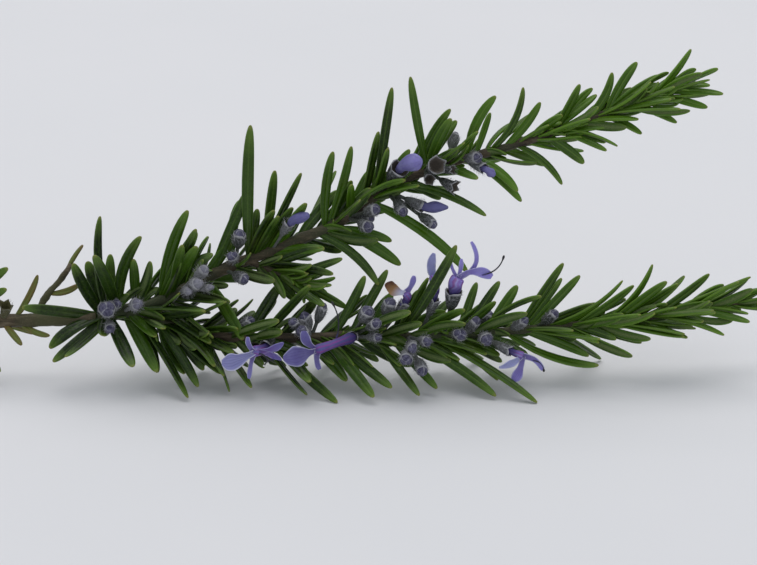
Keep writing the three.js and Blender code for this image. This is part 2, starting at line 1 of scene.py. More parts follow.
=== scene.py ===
import math
import bpy
import numpy as np
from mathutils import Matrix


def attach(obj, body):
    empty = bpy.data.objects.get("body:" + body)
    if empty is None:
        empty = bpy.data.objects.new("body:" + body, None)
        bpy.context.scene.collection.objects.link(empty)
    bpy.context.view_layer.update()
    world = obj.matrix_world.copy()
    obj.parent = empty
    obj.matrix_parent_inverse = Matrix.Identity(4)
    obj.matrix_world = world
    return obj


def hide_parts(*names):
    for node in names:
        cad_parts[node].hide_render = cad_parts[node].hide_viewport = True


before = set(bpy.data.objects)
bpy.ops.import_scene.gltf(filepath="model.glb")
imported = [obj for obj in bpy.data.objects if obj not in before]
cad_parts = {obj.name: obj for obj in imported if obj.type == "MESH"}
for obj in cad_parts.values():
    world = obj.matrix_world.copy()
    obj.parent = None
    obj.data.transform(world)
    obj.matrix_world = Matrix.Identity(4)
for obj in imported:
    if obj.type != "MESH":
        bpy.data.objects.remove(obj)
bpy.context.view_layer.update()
bpy.ops.object.select_all(action="DESELECT")

# Woody stem
# The oldest part of the sprig, cut at its left end: a brown rod with furrowed grey bark and swollen
# leaf joints, out of which the branches grow. Places in this script are in millimetres; CENTRE moves
# them to the middle of the part's own frame, and MM makes them metres.
MM = 0.001
CENTRE = np.array((6.0, -4.0, 0.0))
UP = np.array((0, 0, 1.0))
WOODY_STEM = [(-103, 1, 12.6), (-94, 0.5, 13.6), (-84, 0, 14.3), (-74, 0, 14.5), (-63, 0, 15.0)]
WOODY_RADII = (1.5, 1.45)
WOODY_JOINTS = (0.2, 0.47, 0.66, 0.97)
STEM_SIDES = 12
STEM_STEP = 0.9
JOINT_SWELLING = 0.16
JOINT_REACH = 1.3
BARK_WAVES = 6
BARK_COLOURS = ((0.014, 0.009, 0.004, 1), (0.058, 0.042, 0.021, 1), (0.165, 0.13, 0.08, 1))
BARK_GREEN = (0.06, 0.062, 0.022, 1)


def stem_point(points, share):
    """The point at a share of the way along a smooth line through the points."""
    p = [np.array(q, float) for q in points]
    p = [2 * p[0] - p[1], *p, 2 * p[-1] - p[-2]]
    spans = len(points) - 1
    i = min(int(share * spans), spans - 1)
    f = share * spans - i
    a, b, c, d = p[i:i + 4]
    bend = (2 * a - 5 * b + 4 * c - d) * f ** 2 + (3 * b - 3 * c + d - a) * f ** 3
    return 0.5 * (2 * b + (c - a) * f + bend)


def prism(outline, steps):
    """A closed prism along X from 0 to 1: its outline lies in Y and Z, and it has that many steps."""
    bpy.ops.mesh.primitive_circle_add(vertices=len(outline), radius=1, fill_type="NGON")
    blank = bpy.context.object
    for vertex, (across, above) in zip(blank.data.vertices, outline):
        vertex.co = (0, across, above)
    bpy.ops.object.mode_set(mode="EDIT")
    bpy.ops.mesh.select_all(action="SELECT")
    for _ in range(steps):
        bpy.ops.mesh.extrude_region_move(TRANSFORM_OT_translate={"value": (1 / steps, 0, 0)})
    bpy.ops.mesh.select_all(action="SELECT")
    bpy.ops.mesh.normals_make_consistent(inside=False)
    bpy.ops.object.mode_set(mode="OBJECT")
    return blank


def taken_up(blank):
    """The corners and faces of a blank, which is then removed."""
    corners = np.array([v.co[:] for v in blank.data.vertices])
    faces = [tuple(p.vertices) for p in blank.data.polygons]
    mesh = blank.data
    bpy.data.objects.remove(blank)
    bpy.data.meshes.remove(mesh)
    return corners, faces


def swept(corners, line, face, size):
    """Bends corners, whose X runs from 0 to 1, along a line of points.

    size gives (across, above) at each X, and face is the direction that above leans to.
    """
    shares = np.linspace(0, 1, len(line))
    centre = np.stack([np.interp(corners[:, 0], shares, line[:, k]) for k in range(3)], 1)
    slope = np.gradient(line, shares, axis=0)
    forward = np.stack([np.interp(corners[:, 0], shares, slope[:, k]) for k in range(3)], 1)
    forward /= np.linalg.norm(forward, axis=1)[:, None]
    above = face - forward * (forward @ face)[:, None]
    above /= np.linalg.norm(above, axis=1)[:, None]
    across = np.cross(above, forward)
    wide, high = size
    return centre + across * (corners[:, 1] * wide)[:, None] + above * (corners[:, 2] * high)[:, None]


def made(name, surface, parts, facts=()):
    """One smooth-shaded object, in metres, of a surface and (corners, faces, {fact: values}) parts."""
    corners = np.concatenate([part[0] for part in parts])
    faces = []
    start = 0
    for part in parts:
        faces += [tuple(start + i for i in face) for face in part[1]]
        start += len(part[0])
    mesh = bpy.data.meshes.new(name)
    mesh.from_pydata((corners + CENTRE) * MM, [], faces)
    for fact in facts:
        values = np.concatenate([np.broadcast_to(part[2][fact], len(part[0])) for part in parts])
        mesh.attributes.new(fact, "FLOAT", "POINT").data.foreach_set("value", values.astype(np.float32))
    mesh.polygons.foreach_set("use_smooth", [True] * len(mesh.polygons))
    mesh.materials.append(surface)
    piece = bpy.data.objects.new(name, mesh)
    bpy.context.scene.collection.objects.link(piece)
    return piece


def circle(sides):
    turns = 2 * np.pi * np.arange(sides) / sides
    return list(zip(np.cos(turns), np.sin(turns)))


def stem_part(points, radii, joints, seed, roughness=0.05):
    """A stem bent along its points, uneven like bark and swollen at its joints."""
    draw = np.random.default_rng(seed)
    line = np.array([stem_point(points, s) for s in np.linspace(0, 1, 80)])
    length = np.linalg.norm(np.diff(line, axis=0), axis=1).sum()
    corners, faces = taken_up(prism(circle(STEM_SIDES), int(length / STEM_STEP)))
    share = corners[:, 0]
    radius = radii[0] + (radii[1] - radii[0]) * share
    for joint in joints:
        radius = radius * (1 + JOINT_SWELLING * np.exp(-((share - joint) * length / JOINT_REACH) ** 2))
    turn = np.arctan2(corners[:, 2], corners[:, 1])
    for _ in range(BARK_WAVES):
        waves, twist = draw.integers(1, 6), draw.uniform(4, 40)
        radius = radius * (1 + roughness * 0.4 * np.sin(waves * turn + twist * share + draw.uniform(0, 6)))
    radius = radius * (1 + draw.uniform(-roughness, roughness, len(radius)))
    return swept(corners, line, UP, (radius, radius)), faces


def new_surface(name):
    """A material with nodes, and its shader."""
    surface = bpy.data.materials.new(name)
    surface.use_nodes = True
    return surface, surface.node_tree, surface.node_tree.nodes["Principled BSDF"]


def feed(target, values):
    """Gives a node's sockets, by name or number, a value or a link to another node's socket."""
    for name, value in values.items():
        socket = target.inputs[name]
        if isinstance(value, bpy.types.NodeSocket):
            target.id_data.links.new(value, socket)
        else:
            socket.default_value = value


def node(tree, kind, **values):
    """A node with its settings, in small letters, and its socket values, with a capital."""
    new_node = tree.nodes.new("ShaderNode" + kind)
    for name, value in values.items():
        if name[0].islower():
            setattr(new_node, name, value)
        else:
            feed(new_node, {name.replace("_", " "): value})
    return new_node


def ramp(source, *stops):
    """Colours or greys by a value: stops are (place, colour)."""
    colours = node(source.id_data, "ValToRGB", Fac=source)
    elements = colours.color_ramp.elements
    while len(elements) < len(stops):
        elements.new(0.5)
    for element, (place, colour) in zip(elements, stops):
        element.position = place
        element.color = colour if isinstance(colour, tuple) else (colour, colour, colour, 1)
    return colours.outputs["Color"]


def coated(colour, *coats):
    """A colour with coats over it: each is a share and a colour."""
    for share, over in coats:
        mixer = node(share.id_data, "Mix", data_type="RGBA")
        feed(mixer, {"Factor": share, 6: colour, 7: over})
        colour = mixer.outputs[2]
    return colour


def noise(tree, scale, detail, stretch=(1, 1, 1)):
    """Noise on the piece's own coordinates, in waves per metre, stretched where stretch is small."""
    place = node(tree, "TexCoord").outputs["Object"]
    spread = node(tree, "Mapping", Vector=place, Scale=stretch).outputs["Vector"]
    pattern = node(tree, "TexNoise", Vector=spread, Scale=scale, Detail=detail, Roughness=0.55)
    return pattern.outputs["Fac"]


def relief(height, distance, strength):
    bump = node(height.id_data, "Bump", Height=height, Distance=distance, Strength=strength)
    return bump.outputs["Normal"]


def bark_surface(name, colours, green):
    """Bark: streaks along the stem, fine furrows and green patches."""
    surface, tree, shader = new_surface(name)
    streaks = noise(tree, 900, 6, (0.22, 1, 1))
    dark, middle, light = colours
    colour = ramp(streaks, (0.3, dark), (0.5, middle), (0.72, light))
    patches = ramp(noise(tree, 55, 2, (1, 0.6, 0.6)), (0.42, 0), (0.6, 1))
    specks = ramp(noise(tree, 3500, 2), (0.55, 0), (0.75, 0.5))
    feed(shader, {
        "Base Color": coated(colour, (patches, green), (specks, light)), "Roughness": 0.8,
        "Sheen Weight": 0.08, "Sheen Roughness": 0.5, "Normal": relief(streaks, 0.00035, 0.7),
    })
    return surface


bark = bark_surface("bark", BARK_COLOURS, BARK_GREEN)
woody_stem = made("woody_stem_bark", bark, [stem_part(WOODY_STEM, WOODY_RADII, WOODY_JOINTS, 3)])
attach(woody_stem, "root")
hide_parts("woody_stem")

# Branch stems
# This year's growth out of the end of the woody stem: slender, uneven stems, brown where they have
# begun to turn woody, with green patches in their young bark. The side shoot stands on the upper one.
UPPER_BRANCH = [
    (-62.6, 0, 15.0), (-49, 2, 18.2), (-36, 4, 24.4), (-22, 6, 29.7), (-9, 8.5, 34.6), (2, 10.5, 42),
    (14, 12, 47), (27, 14, 50), (41, 16, 54), (54, 18, 58.4), (66, 19.8, 61.8),
]
LOWER_BRANCH = [
    (-56, 0, 16.2), (-44, -1, 13), (-33, -2, 11.2), (-20, -3, 11.3), (-7.5, -3, 11.8), (5, -3, 11.6),
    (16, -3, 11.8), (28, -2, 12.6), (41, -1, 13.4), (54, 0, 14.2), (67, 2, 15.7), (82, 4, 17.4),
]
SIDE_SHOOT = [(-30, 5, 27.2), (-25, 3.5, 25.4), (-20, 2.5, 23.8), (-16, 2, 22.6)]
YOUNG_BARK = ((0.013, 0.009, 0.005, 1), (0.05, 0.035, 0.018, 1), (0.13, 0.098, 0.06, 1))
STEM_GREEN = (0.03, 0.044, 0.013, 1)
BRANCH_STEMS = {
    "upper_branch": (UPPER_BRANCH, (1.5, 0.7), 17, 5),
    "lower_branch": (LOWER_BRANCH, (1.3, 0.65), 19, 7),
    "side_shoot": (SIDE_SHOOT, (0.8, 0.6), 3, 9),
}
young_bark = bark_surface("young_bark", YOUNG_BARK, STEM_GREEN)
for branch, (points, radii, joints, seed) in BRANCH_STEMS.items():
    part = stem_part(points, radii, np.linspace(0.05, 0.97, joints), seed, roughness=0.03)
    stem = made(branch + "_stem", young_bark, [part])
    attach(stem, "root")
    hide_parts(branch)

# Flower heads
# Groups of calyces in the leaf joints. Each is a felted grey-green cup on a short stalk with a pale
# hairy rim. Most still hold a domed violet bud, and the empty ones gape with two toothed lips.
FLOWER_HEADS = {
    "dry_calyx": (WOODY_STEM, -84, [(-82.6, -3, 19.5)]),
    "head_tuft_front": (UPPER_BRANCH, -60.5, [(-59.6, -9, 20.7), (-59.2, -8, 14.9), (-57.5, -5, 20.6)]),
    "head_tuft_shoot": (UPPER_BRANCH, -57, [(-52.7, -7, 21.1)]),
    "head_upper_1": (UPPER_BRANCH, -44.5, [
        (-38, -3, 28.1), (-36.5, -4, 23.8), (-39.2, -6, 25.5), (-41.5, -6, 23.4)]),
    "head_upper_2": (UPPER_BRANCH, -32, [(-30.7, 2, 35), (-32.5, -2, 30.6)]),
    "head_upper_3": (UPPER_BRANCH, -34.5, [(-29.1, -2, 24.5)]),
    "head_upper_4": (UPPER_BRANCH, -24, [(-19.5, 1.2, 37.2)]),
    "head_upper_5": (UPPER_BRANCH, -7, [(0.1, 3, 39.6), (-1.7, 1, 35.9), (-1, 6, 36.3)]),
    "head_upper_6": (UPPER_BRANCH, 1.5, [(5.9, 3, 38.4), (12.8, 5, 34.7), (10.1, 7, 38.7)]),
    "head_upper_7": (UPPER_BRANCH, 10.3, [
        (13.1, 5, 49.2), (16.9, 6, 47.7), (17.4, 6, 43.5), (11.4, 4, 46)]),
    "head_upper_8": (UPPER_BRANCH, 18.6, [(22.6, 8, 50), (23.6, 8.5, 47.2)]),
    "head_upper_9": (UPPER_BRANCH, 14.8, [(17.5, 20, 52)]),
    "head_upper_10": (UPPER_BRANCH, 0, [(4.8, 6, 48.2)]),
    "head_lower_1": (LOWER_BRANCH, -15, [
        (-19.3, -8, 17.5), (-16.7, -4, 17.7), (-12.1, -2, 19.3), (-17.3, -9, 15.6)]),
    "head_lower_2": (LOWER_BRANCH, -34, [(-27.7, -2, 15.5), (-31.4, 0, 14)]),
    "head_lower_3": (LOWER_BRANCH, -23, [(-25.2, -8, 11.1)]),
    "head_lower_4": (LOWER_BRANCH, -6, [
        (-1.9, -8, 20.3), (0.1, -11, 18.2), (0.5, -10, 14.1), (-5.8, -8, 13.5)]),
    "head_lower_5": (LOWER_BRANCH, 6.6, [
        (11.1, -13, 14.3), (7.5, -14, 12.8), (6, -15, 10.4), (9.8, -13, 6.7)]),
    "head_lower_6": (LOWER_BRANCH, 17, [(18.1, -10, 15)]),
    "head_lower_7": (LOWER_BRANCH, 22.5, [(24.1, -9, 13), (29.4, -7, 9.6)]),
    "head_lower_8": (LOWER_BRANCH, 9, [(12.7, -4, 21)]),
    "head_lower_9": (LOWER_BRANCH, 19, [(22.1, -4, 16.5), (25.3, 0, 16.4)]),
    "head_lower_10": (LOWER_BRANCH, 29, [(33, -3.5, 16.2)]),
    "head_lower_11": (LOWER_BRANCH, 35, [(39.7, -3, 17.7)]),
    "head_lower_12": (LOWER_BRANCH, 0, [(3, -4, 21), (6.1, -3, 19.9)]),
    "head_lower_13": (LOWER_BRANCH, 14.5, [(16.7, -5, 23.3)]),
}
EMPTY_HEADS = ("head_upper_7", "dry_calyx")
# How white the felt is, where it isn't drawn at random; the dry calyx has lost it
PALE_HEADS = {
    "head_upper_1": 0.9, "head_upper_8": 0.45, "head_lower_5": 0.5, "head_tuft_shoot": 0.7,
    "dry_calyx": -1,
}
# How fat the calyces of a head are, mouth by mouth, where they aren't all alike
HEAD_GIRTHS = {
    "head_lower_13": (1.35,), "head_tuft_front": (1.5, 0.9, 0.7), "head_upper_10": (1.4,),
    "head_upper_4": (1.15,), "head_upper_1": (1.0, 0.7, 0.9, 0.7), "head_upper_3": (0.85,),
    "head_upper_7": (1.2, 0.8, 0.95, 0.7), "head_lower_4": (1, 1, 0.9, 0.74),
}
# Where each flower, in the order of COROLLAS, comes out of a calyx that is no further off than FOOT_GAP
FOOT_GAP = 1.3
FLOWER_FEET = [
    (-25.2, -8.5, 11.1), (-6.2, -8.4, 13.4), (16.8, -5, 23.8), (12.6, -3.2, 22), (6.3, -3.3, 20.7),
    (30, -7.3, 9.5), (5.3, 5.8, 48.6), (24.1, 8.4, 46.9), (10.7, 6.9, 38.7), (-18.9, 1, 37.6),
]
CALYX_LENGTH = 5.0
CALYX_RADIUS = 1.42
CALYX_GIRTHS = (0.8, 1.14)
CALYX_FLATNESS = (0.78, 1.0)
CALYX_LEAN = 0.25
CALYX_TINTS = (0, 0.45)
NOTCH_START = 0.45
STALK_RADIUS = 0.42
# From the stalk over the rim and on to the tip of the bud: (place, radius, rim, bud)
BUD_RINGS = [
    (0.0, 0.28, 0, 0), (0.1, 0.56, 0, 0), (0.28, 0.9, 0, 0), (0.48, 1.06, 0, 0), (0.66, 1.07, 0.2, 0),
    (0.77, 1.0, 1, 0), (0.78, 0.92, 0.4, 0.5), (0.86, 0.84, 0, 1), (0.95, 0.66, 0, 1),
    (1.02, 0.4, 0, 1), (1.05, 0.12, 0, 1),
]
# From the stalk over the rim and down inside: the last number is how far in it is
OPEN_RINGS = [
    (0, 0.28, 0, 0), (0.12, 0.52, 0, 0), (0.35, 0.78, 0, 0), (0.62, 0.94, 0, 0), (0.84, 1.04, 0.3, 0),
    (1, 1.12, 1, 0), (0.985, 1.03, 0.8, -0.3), (0.86, 0.88, 0, -1), (0.62, 0.7, 0, -1), (0.5, 0.3, 0, -1),
]
# Rings, sides, how many sides apart its notches are, length of its teeth, and flare of its rim
CALYX_KINDS = {
    "bud": (BUD_RINGS, 12, 4, 0.1, 0.97),
    "flowering": (OPEN_RINGS, 12, 4, 0.13, 0.97),
    "empty": (OPEN_RINGS, 10, 2, 0.22, 1.15),
}
CALYX_COLOURS = ((0.018, 0.02, 0.02, 1), (0.07, 0.074, 0.078, 1), (0.21, 0.21, 0.235, 1))
CALYX_GREEN = (0.034, 0.048, 0.022, 1)
CALYX_INSIDE = (0.085, 0.072, 0.06, 1)
DRY_OLIVE = (0.085, 0.08, 0.025, 1)
RIM_WHITE = (0.43, 0.43, 0.46, 1)
BUD_VIOLET = (0.045, 0.043, 0.08, 1)
BUD_PALE = (0.16, 0.155, 0.235, 1)
CALYX_FACTS = ("rim", "bud", "along", "fold", "tint")
CALYX_HAIRS = 110
HAIR_LENGTH = 0.4
HAIR_RADIUS = 0.034


def unit(vector):
    return vector / np.linalg.norm(vector)


def outward(forward, degrees):
    """Square to a stem: 0 degrees is up, 90 towards the front."""
    up = unit(UP - forward[2] * forward)
    front = np.cross(up, forward)
    if front[1] > 0:
        front = -front
    angle = math.radians(degrees)
    return math.cos(angle) * up + math.sin(angle) * front


def share_at_x(points, x):
    """How far along a stem, as a share, its x is reached."""
    low, high = 0.0, 1.0
    for _ in range(40):
        middle = (low + high) / 2
        if stem_point(points, middle)[0] < x:
            low = middle
        else:
            high = middle
    return (low + high) / 2


def turned(vector, axis, degrees):
    angle = math.radians(degrees)
    across = np.cross(axis, vector) * math.sin(angle)
    return vector * math.cos(angle) + across + axis * (axis @ vector) * (1 - math.cos(angle))


def calyx_shape(rings, sides, spacing, tooth, flare):
    """One calyx from 0 to 1 along X, with its bud or its hollow, notched between its lips."""
    blank = prism(circle(sides), len(rings) - 1)
    facts = []
    for vertex in blank.data.vertices:
        place, radius, rim, bud = rings[round(vertex.co.x * (len(rings) - 1))]
        turn = math.atan2(vertex.co.z, vertex.co.y)
        side = round(turn / (2 * math.pi) * sides)
        notch = side % spacing == 0
        facts.append((rim, bud, place, float(notch and place > NOTCH_START)))
        if place > NOTCH_START and bud >= 0:
            radius *= 0.86 if notch else 1.02
        elif place > 0.05:
            radius *= 1.04 if side % 2 else 0.96
        radius *= 1 + (flare - 1) * rim
        place += rim * tooth * (-1 if notch else 0.7)
        vertex.co = (place, radius * math.cos(turn), radius * math.sin(turn))
    return (*taken_up(blank), dict(zip(CALYX_FACTS, np.array(facts, float).T)))


calyx_shapes = {kind: calyx_shape(*look) for kind, look in CALYX_KINDS.items()}
hair_shape = taken_up(prism([(1, 0), (-0.5, 0.87), (-0.5, -0.87)], 1))
stalk_shape = taken_up(prism(circle(8), 4))


def calyx_parts(root, mouth, draw, kind, pale, fatness):
    """A stalk, a calyx at its end and the hairs on the calyx."""
    corners, faces, facts = calyx_shapes[kind]
    length = np.linalg.norm(mouth - root)
    base = mouth + (root - mouth) * min(CALYX_LENGTH / length, 0.97)
    forward = unit(mouth - root)
    face = turned(outward(forward, 0), forward, draw.uniform(0, 360))
    side = np.cross(forward, face)
    girth = CALYX_RADIUS * draw.uniform(*CALYX_GIRTHS) * fatness
    flat = draw.uniform(*CALYX_FLATNESS)
    full = np.full(len(corners), girth)
    lean = draw.uniform(-CALYX_LEAN, CALYX_LEAN) * side
    bell = swept(corners, np.array((base, (base + mouth) / 2 + lean, mouth)), face, (full, full * flat))
    stalk = swept(stalk_shape[0], np.array((root, (root + base) / 2, base + forward * 0.3)), face,
                  (np.full(len(stalk_shape[0]), STALK_RADIUS),) * 2)
    tint = draw.uniform(*CALYX_TINTS) if pale is None else pale
    plain = {"rim": 0, "bud": 0, "along": 0.1, "fold": 0, "tint": tint}
    parts = [(bell, faces, {**facts, "tint": tint}), (stalk, stalk_shape[1], plain)]
    outside = [ring for ring in CALYX_KINDS[kind][0] if ring[3] == 0]
    for _ in range(CALYX_HAIRS):
        place = draw.uniform(0.1, 1) ** 0.7 * outside[-1][0]
        turn = draw.uniform(0, 2 * math.pi)
        away = math.cos(turn) * face + math.sin(turn) * side
        radius = girth * np.interp(place, [r[0] for r in outside], [r[1] for r in outside])
        foot = base + (mouth - base) * place + away * radius * 0.9
        grow = unit(away + forward * draw.uniform(0.1, 1.3) + side * draw.uniform(-0.3, 0.3))
        reach = HAIR_LENGTH * draw.uniform(0.6, 1.3) * (1 + 1.6 * max(tint, 0))
        thin = HAIR_RADIUS * (1 - 0.8 * hair_shape[0][:, 0])
        line = np.array((foot, foot + grow * reach))
        hair = swept(hair_shape[0], line, forward + 0.01 * side, (thin, thin))
        parts.append((hair, hair_shape[1], {**plain, "rim": 1, "along": place}))
    return parts


def facts_of(tree, *names):
    return [node(tree, "Attribute", attribute_name=name).outputs["Fac"] for name in names]


def maths(operation, *values):
    """What a calculation gives; its first value is a link, and the others are links or numbers."""
    result = node(values[0].id_data, "Math", operation=operation)
    feed(result, dict(enumerate(values)))
    return result.outputs[0]


def times(first, second, plus=0.0):
    """First times second, plus a third."""
    return maths("MULTIPLY_ADD", first, second, plus)


def calyx_surface():
    """Grey-green felt with dark gaps and a pale rim, and a violet bud with pale folds."""
    surface, tree, shader = new_surface("calyx_felt")
    rim, bud, along, fold, tint = facts_of(tree, *CALYX_FACTS)
    dark, middle, light = CALYX_COLOURS
    felt = ramp(noise(tree, 2300, 5), (0.36, dark), (0.5, middle), (0.66, light))
    violet = ramp(noise(tree, 1500, 4), (0.35, BUD_VIOLET), (0.7, BUD_PALE))
    broken = ramp(noise(tree, 900, 3), (0.38, 0.15), (0.6, 1))
    dry = node(tree, "MapRange", Value=tint, From_Min=0.0, From_Max=-1.0, To_Max=0.8).outputs[0]
    colour = coated(
        felt, (ramp(along, (0.05, 0.8), (0.55, 0.15)), CALYX_GREEN),
        (ramp(tint, (0.1, 0), (1, 0.6)), RIM_WHITE), (ramp(rim, (0.3, 0), (0.9, 0.9)), RIM_WHITE),
        (ramp(bud, (0.3, 0), (0.8, 1)),
         coated(violet, (ramp(tint, (0.5, 0), (0.9, 0.4)), RIM_WHITE))),
        (times(ramp(fold, (0.62, 0), (1, 0.8)), broken), RIM_WHITE),
        (ramp(times(bud, -1.0), (0.2, 0), (0.9, 1)), CALYX_INSIDE), (dry, DRY_OLIVE),
    )
    feed(shader, {
        "Base Color": colour, "Roughness": 0.9, "Specular IOR Level": 0.2, "Sheen Weight": 0.1,
        "Sheen Roughness": 0.4, "Normal": relief(noise(tree, 3800, 3), 0.0003, 0.8),
    })
    return surface


calyx_felt = calyx_surface()
calyx_lines = []
for number, (name, (points, x, mouths)) in enumerate(FLOWER_HEADS.items()):
    draw = np.random.default_rng(100 + number)
    root = stem_point(points, share_at_x(points, x))
    parts = []
    for mouth, girth in zip(mouths, HEAD_GIRTHS.get(name, (1,) * len(mouths))):
        mouth = np.array(mouth, float)
        flowering = min(np.linalg.norm(mouth - foot) for foot in FLOWER_FEET) < FOOT_GAP
        kind = "empty" if name in EMPTY_HEADS else "flowering" if flowering else "bud"
        parts += calyx_parts(root, mouth, draw, kind, PALE_HEADS.get(name), girth)
        calyx_lines.append((root, mouth))
    head = made(name + "_calyces", calyx_felt, parts, CALYX_FACTS)
    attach(head, "root")
    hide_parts(name)

# Flowers
# Thin blue-violet corollas: a tube that stands in its calyx, striped magenta, with broad and narrow
# petals round its mouth, and fine stamens. Four are still closed buds. The tone is how light one is.
COROLLAS = {
    "corolla_front_left": {
        "tube": [(-26.5, -10.5, 11.3), (-27.4, -12, 11.6)], "radii": (0.9, 1.2, 1.3),
        "petals": [
            ("folded", -34.4, -14, 10.0, 4.9, 0.5), ("strap", -28.6, -12.5, 15.3, 1.6, 0.5),
            ("strap", -28.5, -12.5, 5.4, 1.5, -0.2), ("lip", -20.8, -11, 13.4, 2.6, -0.6),
            ("lip", -21.3, -11, 9.2, 2.4, 0.6),
        ],
        "threads": [
            ((-27, -12, 11), (-24.2, -14.3, 9.2), 1.2), ((-23, -11.5, 9.6), (-25.2, -13.5, 8.6), -0.5)],
        "anther": "white", "tone": 0.42,
    },
    "corolla_front_middle": {
        "tube": [(-9.5, -10, 12.8), (-13.9, -12.4, 12)], "radii": (1.3, 0.95, 1.3),
        "petals": [
            ("cup", -20.9, -14.5, 11.1, 5.3, 0.2), ("lobe", -16.3, -12.5, 16.7, 2.5, 0.9),
            ("strap", -12.9, -12.5, 7.6, 1.9, -0.5),
        ],
        "threads": [((-9.4, -9.5, 13.4), (-10.4, -8, 22), -1.1)],
        "anther": "dark", "tone": 0.2,
    },
    "corolla_tall": {
        "tube": [(17, -5, 25.2), (17.6, -5, 26.4)], "radii": (1.5, 1.65, 1.5),
        "petals": [
            ("strap", 15.7, -5, 30.6, 1.1, 0.3), ("strap", 18.2, -5, 30.8, 1.4, -0.2),
            ("lobe", 25.0, -6, 26.9, 2.6, 1.5), ("strap", 20.3, -5, 34.8, 1.5, -2.6),
        ],
        "threads": [((22.6, -6.3, 27.4), (27.5, -6.6, 32.2), -1.2)],
        "anther": "dark", "tone": 0.85,
    },
    "corolla_behind": {
        "tube": [(12.4, -2, 24), (12, -1.2, 25.6)], "radii": (0.9, 1.1, 0.9),
        "petals": [("pale", 12.3, -1, 30.7, 2.5, 0.5)], "tone": 0.9,
    },
    "corolla_fading": {
        "tube": [(6.3, -4.2, 22), (6, -5, 23)], "radii": (0.9, 1.0, 0.9),
        "petals": [("tan", 2.2, -5.4, 25.6, 3.2, 0.8), ("strap", 7.8, -5.4, 27, 1.8, -0.4)], "tone": 0.5,
    },
    "corolla_front_right": {
        "tube": [(31, -7.7, 9.3), (32, -8, 9)], "radii": (0.8, 0.9, 0.9),
        "petals": [
            ("strap", 36.4, -9.2, 6.1, 1.9, 0.9), ("lobe", 29.8, -9.6, 3.8, 2.6, 0.5),
            ("pale", 26.6, -9.8, 7, 2.0, 0.4),
        ],
        "threads": [((34, -8.6, 8.2), (36.6, -9.3, 5.7), 0.9)], "anther": "dark", "tone": 0.5,
    },
    "corolla_bud_top": {
        "tube": [(7, 5, 49.6), (8.5, 4.3, 50.2), (9.5, 3.9, 50.6)],
        "radii": (1.2, 1.95, 1.85, 0.7), "tone": 0.45,
    },
    "corolla_bud_right": {
        "tube": [(25, 8.2, 46.3), (25.9, 8, 45.7)], "radii": (0.8, 1.1, 0.4), "tone": 0.3,
    },
    "corolla_bud_middle": {
        "tube": [(12.8, 6.6, 38.9), (15.6, 6.2, 38.9)], "radii": (1.1, 1.35, 0.3), "tone": 0.05,
    },
    "corolla_bud_left": {
        "tube": [(-17.2, 0.6, 38.4), (-15.3, 0, 39.3)], "radii": (1.0, 1.3, 0.6), "tone": 0.1,
    },
}
PETAL_ROWS = 14
PETAL_COLUMNS = 8
PETAL_THICKNESS = 0.2
# Widths along each kind of petal, how deep it is cupped, and how striped, pale and faded it is
PETAL_PLACES = (0, 0.22, 0.45, 0.7, 0.9, 1)
PETAL_KINDS = {
    "cup": ((0.24, 0.28, 0.76, 1.0, 0.76, 0.2), 0.25, (0.1, 0.1, 0)),
    "folded": ((0.28, 0.32, 0.74, 1.0, 0.82, 0.3), 0.6, (0, 0.65, 0)),
    "lobe": ((0.55, 0.5, 0.66, 1.0, 0.92, 0.5), 0.3, (0.2, 0.1, 0)),
    "lip": ((0.8, 0.62, 0.5, 0.72, 0.5, 0.1), 0.5, (1, 0, 0)),
    "strap": ((0.95, 0.75, 0.7, 0.8, 0.7, 0.4), 0.35, (0.2, 0.15, 0)),
    "pale": ((0.5, 0.8, 1.0, 0.8, 0.5, 0.3), 0.35, (0, 0.9, 0)),
    "tan": ((0.35, 0.5, 0.8, 1.0, 0.9, 0.7), 0.6, (0, 0.2, 1)),
}
PETAL_FACTS = ("stripe", "pale", "fade", "along", "across", "deep", "tone")
PETAL_DARK = (0.055, 0.046, 0.19, 1)
PETAL_LIGHT = (0.355, 0.285, 0.78, 1)
PETAL_DEEP = (0.028, 0.02, 0.11, 1)
PETAL_PALE = (0.34, 0.36, 0.6, 1)
PETAL_WHITE = (0.54, 0.55, 0.7, 1)
STRIPE_PINK = (0.3, 0.06, 0.33, 1)
FADED_TAN = (0.33, 0.19, 0.08, 1)
FADED_BROWN = (0.09, 0.035, 0.018, 1)
TUBE_IN_CALYX = 2.2
TUBE_FOOT_RADIUS = 0.8
TUBE_SHARES = np.linspace(0, 1, 15)
TUBE_WAVE = 0.06
RIM_WAVE = 0.17
WIDTH_WAVE = 0.09
ARC_POINTS = 13
THREAD_RADIUS = 0.2
THREAD_GROWTH = ((0, 0.86, 0.92, 0.97, 1), (1, 0.8, 2.0, 2.2, 0.8))
THREAD_VIOLET = (0.016, 0.014, 0.032, 1)
THREAD_BLACK = (0.01, 0.01, 0.014, 1)
ANTHER_WHITE = (0.75, 0.74, 0.72, 1)
FRONT = np.array((0, -1.0, 0))


def petal_blank():
    """A petal from 0 to 1 along X, a flat sheet from -1 to 1 across Y."""
    bpy.ops.mesh.primitive_grid_add(x_subdivisions=PETAL_ROWS, y_subdivisions=PETAL_COLUMNS, size=2)
    blank = bpy.context.object
    bpy.ops.object.mode_set(mode="EDIT")
    bpy.ops.mesh.select_all(action="SELECT")
    bpy.ops.transform.translate(value=(1, 0, 0))
    bpy.ops.transform.resize(value=(0.5, 1, 1), center_override=(0, 0, 0))
    bpy.ops.object.mode_set(mode="OBJECT")
    return taken_up(blank)


petal_shape = petal_blank()
tube_shape = taken_up(prism(circle(14), len(TUBE_SHARES) - 1))
thread_shape = taken_up(prism(circle(7), 14))


